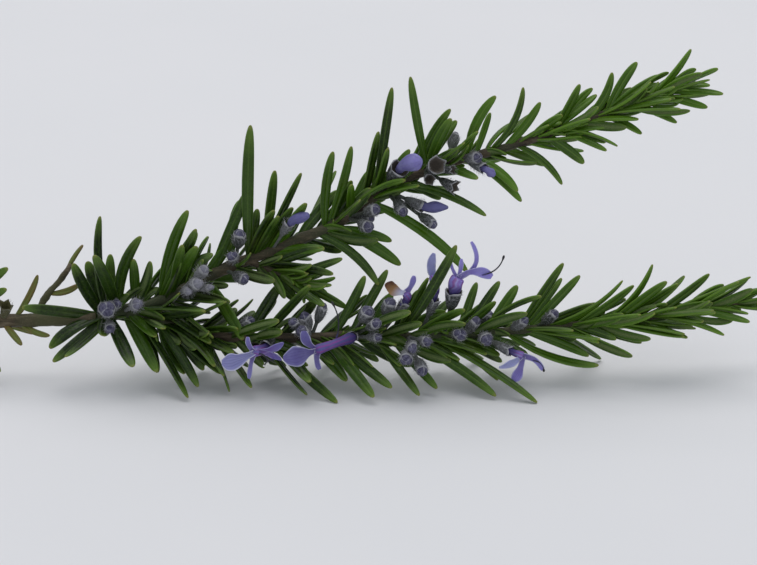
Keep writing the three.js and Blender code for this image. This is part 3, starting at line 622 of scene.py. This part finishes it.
def arc(root, tip, arch):
    """Points on the arc from root to tip; a positive arch bows up on a line that runs to +X."""
    chord = tip - root
    side = unit(np.array((-chord[2], 0, chord[0])))
    s = np.linspace(0, 1, ARC_POINTS)[:, None]
    return root + chord * s + side * arch * 4 * s * (1 - s)


def petal_part(throat, petal, tone, draw):
    kind, x, y, z, width, arch = petal
    widths, depth, look = PETAL_KINDS[kind]
    corners, faces = petal_shape
    along, edge = corners[:, 0], corners[:, 1]
    wave = np.sin(draw.uniform(9, 15) * along + 3 * edge + draw.uniform(0, 6))
    wave *= RIM_WAVE * np.abs(edge) ** 3
    cup = depth * edge ** 2 * np.interp(along, (0, 0.4, 1), (1.2, 1.0, 0.8)) + wave
    corners = np.stack((along, edge * (1 - 0.25 * depth * edge ** 2), cup), 1)
    grown = 1 + WIDTH_WAVE * np.sin(9 * along + draw.uniform(0, 6))
    grown *= np.interp(along, PETAL_PLACES, widths) * width / 2
    bent = swept(corners, arc(throat, np.array((x, y, z)), arch), FRONT, (grown, grown))
    return bent, faces, dict(zip(PETAL_FACTS, (*look, along, edge, 0, tone)))


def petal_surface():
    """Blue-violet: paler to its edges, finely veined, with magenta stripes on the lip and tube."""
    surface, tree, shader = new_surface("petal")
    stripe, pale, fade, along, across, deep, tone = facts_of(tree, *PETAL_FACTS)
    light = coated(PETAL_DARK, (tone, PETAL_LIGHT))
    cloud = ramp(noise(tree, 520, 4), (0.42, 0), (0.72, 0.5))
    waves = maths("SINE", times(across, 21.0, times(noise(tree, 420, 2), 6.0)))
    striped = coated(light, (ramp(waves, (0.1, 0), (0.7, 1)), STRIPE_PINK))
    rim = ramp(maths("ABSOLUTE", across), (0.8, 0), (0.97, 0.85))
    colour = coated(
        PETAL_DEEP, (ramp(along, (0.1, 0.35), (0.8, 1)), light),
        (times(cloud, times(tone, 0.9, 0.15)), PETAL_PALE), (pale, PETAL_PALE),
        (ramp(waves, (0.3, 0), (1, 0.22)), PETAL_DEEP),
        (times(stripe, ramp(along, (0, 0.95), (0.8, 0))), striped),
        (times(rim, ramp(pale, (0, 0.3), (0.1, 0.7), (0.4, 1))), PETAL_WHITE), (deep, PETAL_DEEP),
        (fade, ramp(along, (0.2, PETAL_WHITE), (0.6, FADED_TAN), (0.95, FADED_BROWN))),
    )
    feed(shader, {
        "Base Color": colour, "Roughness": 0.6, "Specular IOR Level": 0.3, "Subsurface Weight": 0.25,
        "Subsurface Radius": (0.6, 0.5, 1.0), "Subsurface Scale": 0.0006,
        "Normal": relief(noise(tree, 1800, 3, (0.4, 1, 1)), 0.00015, 0.5),
    })
    return surface


def thread_surface(name, end):
    """Violet to blackish filaments and their anthers."""
    surface, tree, shader = new_surface(name)
    along, = facts_of(tree, "along")
    colour = ramp(along, (0, PETAL_DARK), (0.2, THREAD_VIOLET), (0.85, THREAD_BLACK), (0.93, end))
    fine = relief(noise(tree, 3000, 2), 0.0001, 0.4)
    feed(shader, {"Base Color": colour, "Roughness": 0.5, "Normal": fine})
    return surface


petal_violet = petal_surface()
thread_looks = {
    "dark": thread_surface("dark_stamen", THREAD_BLACK),
    "white": thread_surface("pale_stamen", ANTHER_WHITE),
}
petal_points = []


def worked(piece, kind, **settings):
    """A piece with a modifier applied to it."""
    bpy.ops.object.select_all(action="DESELECT")
    piece.select_set(True)
    bpy.context.view_layer.objects.active = piece
    change = piece.modifiers.new(kind, kind)
    for name, value in settings.items():
        setattr(change, name, value)
    bpy.ops.object.modifier_apply(modifier=change.name)
    piece.select_set(False)
    return piece


def smoothed(piece):
    return worked(piece, "SUBSURF", levels=1, render_levels=1)


for number, ((name, flower), foot) in enumerate(zip(COROLLAS.items(), FLOWER_FEET)):
    draw = np.random.default_rng(200 + number)
    stalk, mouth = min(calyx_lines, key=lambda ends: np.linalg.norm(ends[1] - foot))
    tube = [foot - unit(mouth - stalk) * TUBE_IN_CALYX, foot, *flower["tube"]]
    line = np.array([stem_point(tube, s) for s in np.linspace(0, 1, 16)])
    rows = flower.get("petals", ())
    petal_points += [*line[::5], *(np.array(row[1:4]) * 0.5 + line[-1] * 0.5 for row in rows)]
    corners, faces = tube_shape
    turn = np.arctan2(corners[:, 2], corners[:, 1])
    radii = [(r, 0, 0) for r in (TUBE_FOOT_RADIUS, *flower["radii"])]
    radius = np.interp(corners[:, 0], TUBE_SHARES, [stem_point(radii, s)[0] for s in TUBE_SHARES])
    radius = radius * (1 + TUBE_WAVE * np.sin(4 * turn + 2 * corners[:, 0]))
    closed = not rows
    facts = {
        "along": corners[:, 0] * 0.9 if closed else 0.35 * corners[:, 0],
        "across": turn / np.pi * (0.82 if closed else 1),
        "stripe": 0 if closed else np.interp(corners[:, 0], (0.2, 0.5), (0, 1)),
        "pale": 0.2 if closed else 0, "fade": 0, "tone": flower["tone"],
        "deep": 0 if closed else np.interp(corners[:, 0], (0.35, 0.75), (0.8, 0)),
    }
    parts = [(swept(corners, line, UP, (radius, radius)), faces, facts)]
    bloom = smoothed(made(name + "_tube", petal_violet, parts, PETAL_FACTS))
    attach(bloom, "root")
    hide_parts(name)
    if closed:
        continue
    throat = line[-1] * 0.75 + line[-4] * 0.25
    parts = [petal_part(throat, row, flower["tone"], draw) for row in rows]
    petals = made(name + "_petals", petal_violet, parts, PETAL_FACTS)
    smoothed(worked(petals, "SOLIDIFY", thickness=PETAL_THICKNESS * MM, offset=0))
    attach(petals, "root")
    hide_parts(name)
    parts = []
    for start, tip, arch in flower.get("threads", ()):
        corners, faces = thread_shape
        thin = THREAD_RADIUS * np.interp(corners[:, 0], *THREAD_GROWTH)
        thread = arc(np.array(start, float), np.array(tip, float), arch)
        parts.append((swept(corners, thread, FRONT, (thin, thin)), faces, {"along": corners[:, 0]}))
    if parts:
        threads = smoothed(made(name + "_stamens", thread_looks[flower["anther"]], parts, ("along",)))
        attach(threads, "root")
        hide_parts(name)

# Leaves
# Narrow, leathery needles, set in crossed pairs. Each is rolled under along both edges, so it has a
# groove down its dark glossy upper face, and only a narrow felted strip with a rib shows below.
LEAF_FACTS = ("along", "across", "upper", "tint", "age")
LEAF_WIDTH = 2.6
LEAF_THICKNESS = 1.1
LEAF_ROLL = 55
ROOT_SPREAD = 0.6
LEAF_WIDTH_SPREAD = 0.16
OLDEST_WIDTH = 1.16
YOUNGEST_WIDTH = 0.78
LEAF_SECTION = [
    (0, 0.14), (-0.30, 0.38), (-0.76, 0.30), (-1.02, -0.04), (-0.78, -0.42), (-0.30, -0.28),
    (0, -0.44), (0.30, -0.28), (0.78, -0.42), (1.02, -0.04), (0.76, 0.30), (0.30, 0.38),
]
# Along a leaf: (place, width), with a narrow foot and a tapering tip
LEAF_RINGS = [
    (0, 0.45), (0.12, 0.66), (0.34, 0.96), (0.6, 1), (0.8, 0.9), (0.92, 0.68), (0.98, 0.4), (1, 0.15),
]
SHOWN_ROLL = 54
# The tips that the sprig rests on
FOOT_TIP = 0.3
# Leaves that give the sprig its outline: (x on the stem, tip x, tip y, tip z), and an arch if one bows
UPPER_LEAVES = [
    (-60, -61, -3, 40, 1.2), (-61, -67, -6, 30, 0.5), (-58, -52, -5, 36, 2), (-58, -62, -9, 33, -0.5),
    (-54, -54, -3, 30), (-61, -79, -4, 19), (-61, -73, -6, 10, -1.5), (-60, -72, -9, 8),
    (-59, -69, -11, 10, 0.3), (-60, -54, -12, 8), (-47, -34, -6, 21), (-39, -30, -6, 12, 0.3),
    (-48, -42, 1, 40, 1.2), (-47, -40, -3, 37, 0.5), (-46, -43, -5, 34), (-37, -29, 6, 43),
    (-29, -28, 3, 59, 0.5), (-25, -23, 8, 47), (-26, -17, 3, 48), (-24, -16, 0, 42),
    (-12, -10, 6, 52, 0.8), (-11, -6, 10, 52, -0.6), (-6, -6, 4, 45), (-3, 0, 8, 56), (-1, 3, 12, 65),
    (-1, 2, 5, 53, -0.3), (11, 7, 10, 68, 0.3), (9, 16, 12, 60, 1), (11, 16, 8, 59, 0.5),
    (20, 26, 12, 63, 1.5), (22, 25, 16, 58), (25, 32, 12, 65, -2), (28, 36, 14, 61, -0.7),
    (39, 45, 18, 64, -0.3), (46, 52, 17, 67, -1.5), (51, 58, 22, 68, 0.5), (61, 70, 22, 71, -0.7),
    (67, 76, 20, 67, 0.4), (65, 77, 17, 62, 0.5), (64, 74, 20, 58), (57, 67, 18, 55, 0.5),
    (50, 59, 16, 53, 0.5), (41, 51, 16, 51, 0.5), (41, 51, 13, 50, 0.3), (37, 46, 13, 47, 0.5),
    (31, 41, 10, 43, 1.5), (20, 31, 8, 42, 1.5), (20, 32, 10, 39, 1), (5, 24, 6, 37, 1.5),
    (-2, 20, 5, 24, 2), (-14, 0, 2, 22, 2), (-10, 5, 7, 25, 0.7), (-12, 3, 9, 30, 1),
]
LOWER_LEAVES = [
    (-53, -42, -13, 1, 0.5), (-52, -49, -8, 5), (-52, -47, -12, 17), (-51, -38, -9, 20),
    (-50, -40, -9, 2, 0.7), (-45, -35, -3, 3, 0.5), (-45, -37, -8, 7, 2.5), (-37, -28, -12, 3, 0.5),
    (-24, -9, -14, FOOT_TIP, -0.5), (-23, -15, -16, 6), (-15, -7, -8, 3), (-12, -1, -15, 2),
    (-11, 3, -12, 3), (-1, 9, -14, 2), (3, 13, -10, 2), (6, 26, -12, 1, 1), (7, 18, -5, 6),
    (12, 35, -14, FOOT_TIP, 1), (28, 49, -6, 6, -2), (32, 47, -3, 7, 0.5), (33, 49, -8, 13),
    (44, 59, 0, 9, 0.4), (52, 68, -4, 12), (62, 77, -3, 12, 1), (70, 83, 0, 14, 0.3), (61, 74, -6, 19),
    (-10, -3, 0, 25, -0.3), (-6, 2, 4, 25), (-4, 3, 2, 20), (5, 17, -8, 35, -0.5), (4, 11, -4, 26),
    (18, 22, 4, 22), (19, 27, 2, 23), (17, 26, -3, 20), (8, 19, -8, 20, 0.5), (24, 31, 2, 22),
    (22, 36, -5, 22, 1.5), (31, 41, 0, 28), (32, 41, 4, 23), (34, 45, 3, 24), (34, 48, 1, 18),
    (37, 54, -3, 25, -2), (44, 57, 2, 22, -0.5), (50, 61, 2, 27, -2), (52, 64, -1, 24), (54, 67, 3, 22),
    (61, 74, 4, 24, -0.5), (63, 83, 2, 24, -0.3), (70, 80, -1, 24), (76, 88, 4, 21),
    (-42, -31, 12, FOOT_TIP), (-20, -9, 12, FOOT_TIP), (12, 24, 12, FOOT_TIP), (38, 51, 12, FOOT_TIP),
]
SIDE_LEAVES = [
    (-27, -10, 1, 25, 0.5), (-25, -13, 4, 30, 0.5), (-24, -16, -1, 26), (-22, -12, -3, 19),
    (-20, -8, 3, 28), (-19, -7, 1, 17), (-26, -18, 2, 18),
]
# Crossed pairs with a short leaf between, set by rule: seed, stations, their span of the stem, how far
# the leaves stand off at its ends, and how long they are there. The first rule of a branch gives the
# leaves of its solid; the others stand behind them and close to the stem.
UPPER_RULES = [
    (11, 17, (0.05, 0.97), (62, 20), (17, 14)), (61, 26, (0.03, 0.98), (48, 16), (13, 11)),
    (67, 20, (0.02, 0.96), (35, 14), (7, 7)),
]
LOWER_RULES = [
    (23, 19, (0.08, 0.985), (58, 18), (17, 14)), (83, 30, (0.02, 0.98), (48, 16), (13, 11)),
    (89, 22, (0.02, 0.96), (35, 14), (7, 7)),
]
SIDE_RULES = [(5, 3, (0.5, 0.95), (40, 25), (9, 8)), (97, 6, (0.2, 0.98), (45, 25), (9, 8))]
# Leaves in front of and behind those, which the solids leave out
UPPER_FILL = [
    (63, 74, 18, 65, 0.3), (51, 67, 12, 60, 0.5), (52, 65, 13, 62), (55, 66, 16, 64), (59, 66, 24, 64),
    (44, 57, 22, 62, 0.3), (35, 47, 11, 58), (39, 44, 21, 59), (33, 41, 14, 58, 0.4),
    (31, 38, 13, 56, 0.3), (37, 49, 20, 61), (50, 63, 22, 65, 0.3), (47, 58, 14, 57, 0.4),
    (37, 52, 16, 55, 0.4), (11, 19, 6, 54), (15, 22, 8, 56), (0, 7, 14, 50), (-7, 6, 4, 46, 2),
    (-1, 2, 13, 51), (-2, 9, 3, 45, 0.8), (-29, -23, 1, 40, 0.3), (-28, -22, 0, 39),
    (-26, -19, 3, 40, 0.3), (-22, -16, 6, 40), (-29, -27, 8, 38), (-10, -6, 10, 44), (-11, -4, 2, 42),
    (-14, -6, 10, 41), (-21, -14, 9, 33), (-7, -2, 11, 46), (-49, -40, -2, 36, 0.3), (-48, -40, -3, 33),
    (-45, -37, 6, 28, 1.5), (-39, -33, 5, 31), (-51, -42, 5, 29, 0.3), (-61, -65, 4, 27),
    (-60, -60, 6, 28), (-55, -38, -9, 20, 0.7), (-51, -37, -8, 12, 0.5), (-57, -49, -10, 6, 0.3),
    (-56, -49, -9, 14), (-61, -61, -6, 13), (-25, -12, 4, 30, 0.3), (-11, 1, 14, 38, 0.3),
    (21, 32, 19, 48, 0.4), (5, 14, 12, 39, 0.4), (27, 38, 18, 45, 0.3), (-18, -9, 12, 41, 0.3),
    (14, 22, 5, 46, 0.4),
]
LOWER_FILL = [
    (-48, -36, -12, 8, 2), (-48, -35, -6, 4, 0.5), (-47, -39, -4, 4), (-29, -22, 3, 22),
    (-30, -23, 4, 18), (-26, -15, -6, 25), (-2, 3, 0, 21), (-25, -15, -13, 5, 0.7),
    (-17, -7, -8, 3, 0.4), (7, 18, -8, 8, 0.5), (-6, 4, -9, 12, 0.3), (-1, 5, -9, 7),
    (10, 24, -7, 9, 0.7), (14, 27, -5, 8, 0.5), (-9, -2, -7, 16), (3, 9, -1, 22), (33, 43, -8, 15, 0.3),
    (43, 58, -6, 18), (56, 66, -4, 19), (64, 75, -2, 17), (36, 49, 4, 17), (47, 59, 3, 17, 0.3),
    (67, 78, 6, 19), (37, 49, -5, 11, 0.4), (43, 53, -3, 11, 0.3), (51, 68, -5, 13, 0.5),
    (54, 69, -2, 11, 0.5), (-43, -32, -9, 10, 0.4), (-40, -31, -7, 15, 0.3), (-37, -26, 5, 7, 0.3),
    (-32, -21, 3, 2, 0.3), (-28, -17, -8, 10, 0.4), (-22, -11, 8, 4, 0.3), (-15, -6, 5, 2, 0.3),
    (-11, 0, 4, 3, 0.4), (4, 14, 6, 2, 0.4), (16, 28, 6, 2, 0.4), (20, 32, 6, 6, 0.3),
    (23, 34, -8, 8, 0.5), (-39, -32, 6, 15), (-34, -28, 7, 14), (-22, -14, 6, 17), (-13, -6, 7, 15),
    (8, 16, 6, 17), (27, 36, 7, 14), (58, 70, 7, 11, 0.2), (62, 72, -5, 16, 0.3),
]
# Stem, shown leaves, fill leaves, rules, stretches of stem by x that show between the leaves, palest
# tint, and seed of the tints. The lower branch's low palest tint darkens its leaves: painted shade.
BRANCH_LEAVES = {
    "upper_branch": (
        UPPER_BRANCH, UPPER_LEAVES, UPPER_FILL, UPPER_RULES, [(-33, -15), (24, 34)], 0.7, 71),
    # Its low palest tint is painted shade: darker leaves where less light reaches
    "lower_branch": (LOWER_BRANCH, LOWER_LEAVES, LOWER_FILL, LOWER_RULES, [(24, 40)], 0.42, 73),
    "side_shoot": (SIDE_SHOOT, SIDE_LEAVES, [], SIDE_RULES, [], 0.5, 79),
}
SHOWN_SEED = 57
FILL_SEED = 59
CLEAR_OF_FLOWERS = 1.9
SHORT_TURN = 70
PAIR_TURNS = (0, 180, SHORT_TURN)
SHORT_SHARE = 0.62
SHORT_LIFT = 0.75
LOWEST_TIP = 1.0
TURN_SPREAD = 20
LIFT_SPREAD = 9
LENGTH_SPREAD = (0.8, 1.12)
ARCH_SPREAD = 1.2
UPPER_GREEN = (0.002, 0.0095, 0.0004, 1)
YOUNG_GREEN = (0.066, 0.165, 0.003, 1)
EDGE_GREEN = (0.15, 0.26, 0.035, 1)
TIP_YELLOW = (0.26, 0.24, 0.06, 1)
DULL_BROWN = (0.05, 0.052, 0.008, 1)
FELT_GREEN = (0.06, 0.092, 0.03, 1)
RIB_GREEN = (0.12, 0.17, 0.055, 1)


def leaf_shape():
    """A straight leaf from 0 to 1 along X, its upper face up, and its width at each corner."""
    blank = prism(LEAF_SECTION, len(LEAF_RINGS) - 1)
    widths = []
    for vertex in blank.data.vertices:
        place, width = LEAF_RINGS[round(vertex.co.x * (len(LEAF_RINGS) - 1))]
        vertex.co.x = place
        widths.append(width)
    return (*taken_up(blank), np.array(widths))


leaf_blank = leaf_shape()
flower_points = np.array(petal_points + [r + (m - r) * s for r, m in calyx_lines for s in (0.5, 0.75, 1)])


class Draws:
    """A repeatable run of random numbers."""

    def __init__(self, seed):
        self.state = seed

    def between(self, low, high):
        self.state = self.state * 16807 % 2147483647
        return low + (high - low) * self.state / 2147483647


def stem_heading(points, share):
    ahead = stem_point(points, min(share + 0.001, 1))
    return unit(ahead - stem_point(points, max(share - 0.001, 0)))


def drawn_width(draw, share):
    """The width of a leaf, which is greatest on the oldest part of a stem."""
    spread = draw.between(1 - LEAF_WIDTH_SPREAD, 1 + LEAF_WIDTH_SPREAD)
    return LEAF_WIDTH * spread * (OLDEST_WIDTH + (YOUNGEST_WIDTH - OLDEST_WIDTH) * share)


def shown_leaves(points, rows, seed):
    draw = Draws(seed)
    leaves = []
    for x, *tip in rows:
        arch = tip.pop() if len(tip) > 3 else 0
        share = share_at_x(points, x + draw.between(-ROOT_SPREAD, ROOT_SPREAD))
        roll = abs(draw.between(-LEAF_ROLL, LEAF_ROLL)) + SHOWN_ROLL
        width = drawn_width(draw, share)
        line = arc(stem_point(points, share), np.array(tip, float), arch)
        forward, chord = stem_heading(points, share), unit(line[-1] - line[0])
        if turned(forward, chord, roll)[1] > turned(forward, chord, -roll)[1]:
            roll = -roll
        leaves.append({"line": line, "forward": forward, "roll": roll, "age": share, "width": width})
    return leaves


def ruled_leaves(points, seed, stations, span, lift, length):
    draw = Draws(seed)
    leaves = []
    for k in range(stations):
        part = k / (stations - 1)
        share = span[0] + (span[1] - span[0]) * part
        root, forward = stem_point(points, share), stem_heading(points, share)
        for turn in PAIR_TURNS:
            short = turn == SHORT_TURN
            around = 45 + 90 * k + turn + draw.between(-TURN_SPREAD, TURN_SPREAD)
            lean = lift[0] + (lift[1] - lift[0]) * part + draw.between(-LIFT_SPREAD, LIFT_SPREAD)
            drawn = draw.between(*LENGTH_SPREAD)
            reach = (length[0] + (length[1] - length[0]) * part) * (SHORT_SHARE if short else 1) * drawn
            arch = draw.between(-ARCH_SPREAD, ARCH_SPREAD)
            roll = draw.between(-LEAF_ROLL, LEAF_ROLL)
            width = drawn_width(draw, share)
            angle = math.radians(lean * (SHORT_LIFT if short else 1))
            tip = root + reach * (math.cos(angle) * forward + math.sin(angle) * outward(forward, around))
            tip[2] = max(tip[2], LOWEST_TIP)
            leaves.append({
                "line": arc(root, tip, arch), "forward": forward, "roll": roll,
                "width": width * min(1, 0.6 + reach / 30), "age": share,
            })
    return leaves


def clear(leaf, bare):
    """Whether a leaf stays off the flowers and leaves the bare stretches of stem in view."""
    root, tip = leaf["line"][0], leaf["line"][-1]
    if tip[1] < root[1] + 1 and any(low < root[0] < high for low, high in bare):
        return False
    gaps = np.linalg.norm(leaf["line"][3:, None] - flower_points[None], axis=2)
    return gaps.min() > CLEAR_OF_FLOWERS


def leaf_part(leaf, tint):
    """A copy of the leaf, bent along its own line."""
    corners, faces, grown = leaf_blank
    line = leaf["line"]
    chord = unit(line[-1] - line[0])
    face = turned(leaf["forward"], chord, leaf["roll"])
    size = (grown * leaf["width"] / 2, (0.25 + 0.75 * grown) * LEAF_THICKNESS)
    facts = (corners[:, 0], np.abs(corners[:, 1]), corners[:, 2] * 2 + 0.4, tint, leaf["age"])
    return swept(corners, line, face, size), faces, dict(zip(LEAF_FACTS, facts))


def leaf_surface():
    """Glossy dark green above with a lighter tip, pale edges and groove that are partly painted highlight,
    and painted highlight specks; pale felt and a rib below.
    """
    surface, tree, shader = new_surface("leaf")
    along, across, upper, tint, age = facts_of(tree, *LEAF_FACTS)
    lightness = node(tree, "MapRange", Value=times(age, 0.75, tint), From_Min=0.15, From_Max=1.42,
                     interpolation_type="SMOOTHSTEP").outputs[0]
    mottle = ramp(noise(tree, 1400, 3), (0.42, 0), (0.75, 0.25))
    dull = ramp(noise(tree, 130, 2, (0.5, 1, 1)), (0.56, 0), (0.78, 0.4))
    # Pale groove line and pale edges: partly the leaf's own lighter midrib and margins, partly painted
    # highlight along its ridges and edges
    pale_groove_and_highlight = times(ramp(across, (0.02, 0.6), (0.17, 0)), times(age, 0.8, 0.15))
    edges = times(ramp(across, (0.74, 0), (0.96, 0.62)), times(age, 0.6, 0.4))
    # Pale specks on the upper face: painted highlight, a painted sheen
    specks = ramp(noise(tree, 4600, 3), (0.5, 0), (0.72, 0.42))
    specks = times(specks, ramp(across, (0.35, 1), (0.62, 0)))
    green = coated(
        UPPER_GREEN, (lightness, YOUNG_GREEN), (mottle, YOUNG_GREEN), (dull, DULL_BROWN),
        (pale_groove_and_highlight, EDGE_GREEN), (edges, EDGE_GREEN), (specks, RIB_GREEN),
        (ramp(along, (0.78, 0), (1, 0.6)), EDGE_GREEN), (ramp(along, (0.96, 0), (1, 0.6)), TIP_YELLOW),
    )
    felt = ramp(noise(tree, 4200, 2), (0.3, FELT_GREEN), (0.7, RIB_GREEN))
    felt = coated(felt, (ramp(across, (0.04, 0.8), (0.16, 0)), RIB_GREEN))
    under = times(ramp(upper, (0, 1), (0.12, 0)), ramp(across, (0.28, 1), (0.5, 0)))
    feed(shader, {
        "Base Color": coated(green, (under, felt)), "Roughness": ramp(under, (0, 0.29), (1, 0.9)),
        "Specular IOR Level": 0.25, "Subsurface Weight": 0.06, "Subsurface Radius": (0.4, 0.8, 0.2),
        "Subsurface Scale": 0.0006, "Normal": relief(noise(tree, 2600, 3, (0.35, 1, 1)), 0.00012, 0.35),
    })
    return surface


leaf_green = leaf_surface()
for branch, (points, rows, fill, rules, bare, palest, seed) in BRANCH_LEAVES.items():
    ruled = [[leaf for leaf in ruled_leaves(points, *rule) if clear(leaf, bare)] for rule in rules]
    batches = {
        "_leaves": (shown_leaves(points, rows, SHOWN_SEED) + ruled[0], seed),
        "_more_leaves": (shown_leaves(points, fill, FILL_SEED) + sum(ruled[1:], []), seed + 30),
    }
    for ending, (leaves, tint_seed) in batches.items():
        draw = Draws(tint_seed)
        # Leaf tints up to the branch's palest; on the lower branch this holds painted shade
        parts = [leaf_part(leaf, draw.between(0, palest)) for leaf in leaves]
        piece = smoothed(made(branch + ending, leaf_green, parts, LEAF_FACTS))
        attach(piece, "root")
        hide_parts(branch)

# Old leaves and the stub twig
# What is left on the woody stem: a short dark twig with two yellow-green leaves, single leaves that
# have begun to brown, a leaf stub, and the leaves of the joint nearest the cut.
STUB_TWIG = [(-77, 0, 14.4), (-74.5, 2, 19), (-71, 3, 23), (-68.5, 3.5, 26.5)]
TWIG_RADII = (0.8, 0.55)
TWIG_JOINTS = (0.35, 0.7, 0.97)
TWIG_LEAVES = [(-69, -65.9, 5, 30.5, 0.3), (-74, -66.7, 2, 22.3, -0.8)]
OLD_LEAVES = {
    "old_leaf_tall": (-81, -75.9, 2, 24.5, -0.6), "old_leaf_low": (-80, -73.2, -3, 11.9, -0.8),
    "old_leaf_back": (-87, -77.5, 3.5, 9.8, 0.4), "green_stub": (-83.5, -79.3, -4.5, 10.2),
    "end_leaf_upper": (-96, -82.3, 1, 26.5, 0.8), "end_leaf_front": (-94, -82.2, -3.5, 23.2, 0.6),
    "end_leaf_back": (-95, -86, 9, 21, 0.6), "end_leaf_lower": (-95, -84.5, -4, 3.5, 0.5),
}
SHRUNKEN = 0.66
TWIG_LEAF_SEED = 43
OLD_LEAF_SEED = 47
OLD_LEAF_TINT = 0.5
OLD_GREEN = (0.105, 0.128, 0.015, 1)
OLD_BROWN = (0.17, 0.105, 0.028, 1)


def old_leaf_surface():
    """Yellow-green that browns in patches and at the tip."""
    surface, tree, shader = new_surface("old_leaf")
    along, across = facts_of(tree, "along", "across")
    patches = ramp(noise(tree, 260, 4), (0.41, 0), (0.66, 0.9))
    colour = coated(
        OLD_GREEN, (patches, OLD_BROWN), (ramp(along, (0.85, 0), (1, 0.8)), OLD_BROWN),
        (ramp(across, (0, 0.5), (0.2, 0)), EDGE_GREEN),
    )
    wrinkles = relief(noise(tree, 2200, 4, (0.35, 1, 1)), 0.00018, 0.6)
    feed(shader, {"Base Color": colour, "Roughness": 0.62, "Normal": wrinkles})
    return surface


old_leaf = old_leaf_surface()
twig = made("stub_twig_stem", bark, [stem_part(STUB_TWIG, TWIG_RADII, TWIG_JOINTS, 11, roughness=0.1)])
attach(twig, "root")
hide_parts("stub_twig")
single_leaves = {"stub_twig": shown_leaves(STUB_TWIG, TWIG_LEAVES, TWIG_LEAF_SEED)}
for name, row in OLD_LEAVES.items():
    single_leaves[name] = shown_leaves(WOODY_STEM, [row], OLD_LEAF_SEED)
for name, leaves in single_leaves.items():
    fresh = name.startswith("end")
    for leaf in leaves:
        leaf["width"] *= 1 if fresh else SHRUNKEN
    parts = [leaf_part(leaf, OLD_LEAF_TINT) for leaf in leaves]
    piece = smoothed(made(name + "_blade", leaf_green if fresh else old_leaf, parts, LEAF_FACTS))
    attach(piece, "root")
    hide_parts(name)

# Table, light and camera
# A plain pale surface that the sprig lies on, in soft light from above and behind and a weaker one
# from the front, seen from in front and 20 degrees above.
FLOOR_SIZE = 4.0
FLOOR_GREY = (0.735, 0.728, 0.752, 1)
FLOOR_SHADE = (0.705, 0.705, 0.73, 1)
SKY_COLOUR = (0.89, 0.945, 1.0, 1)
SKY_STRENGTH = 0.53
TARGET = (CENTRE + (0, 0, 23.4)) * MM
CAMERA_DISTANCE = 0.6
CAMERA_HEIGHT_ANGLE = math.radians(20)
CAMERA_LENS = 128.4

bpy.ops.mesh.primitive_plane_add(size=FLOOR_SIZE)
floor = bpy.context.object
floor.name = "table"
paper, paper_tree, paper_shader = new_surface("pale_table")
shade = ramp(noise(paper_tree, 6, 3), (0.3, FLOOR_GREY), (0.8, FLOOR_SHADE))
feed(paper_shader, {"Base Color": shade, "Roughness": 0.75})
floor.data.materials.append(paper)


def soft_light(name, place, size, power, colour):
    """A square light that faces the sprig."""
    lamp = bpy.data.lights.new(name, "AREA")
    lamp.size = size
    lamp.energy = power
    lamp.color = colour
    light = bpy.data.objects.new(name, lamp)
    bpy.context.scene.collection.objects.link(light)
    light.location = place
    aim = np.array(place) - TARGET
    light.rotation_euler = (math.atan2(math.hypot(aim[0], aim[1]), aim[2]), 0, math.atan2(aim[0], -aim[1]))


soft_light("window_light", (0.0, 0.32, 1.3), 1.5, 11.6, (1.0, 0.98, 0.955))
soft_light("front_fill", (0.3, -1.1, 0.7), 1.2, 1.6, (0.97, 0.98, 1.0))
world = bpy.data.worlds.new("studio")
bpy.context.scene.world = world
world.use_nodes = True
sky = world.node_tree.nodes["Background"]
feed(sky, {"Color": SKY_COLOUR, "Strength": SKY_STRENGTH})

lens = bpy.data.cameras.new("camera")
lens.lens = CAMERA_LENS
lens.clip_start = 0.01
camera = bpy.data.objects.new("camera", lens)
bpy.context.scene.collection.objects.link(camera)
back = np.array((0, -math.cos(CAMERA_HEIGHT_ANGLE), math.sin(CAMERA_HEIGHT_ANGLE)))
camera.location = TARGET + back * CAMERA_DISTANCE
camera.rotation_euler = (math.pi / 2 - CAMERA_HEIGHT_ANGLE, 0, 0)
bpy.context.scene.camera = camera
bpy.context.scene.view_settings.view_transform = "Standard"
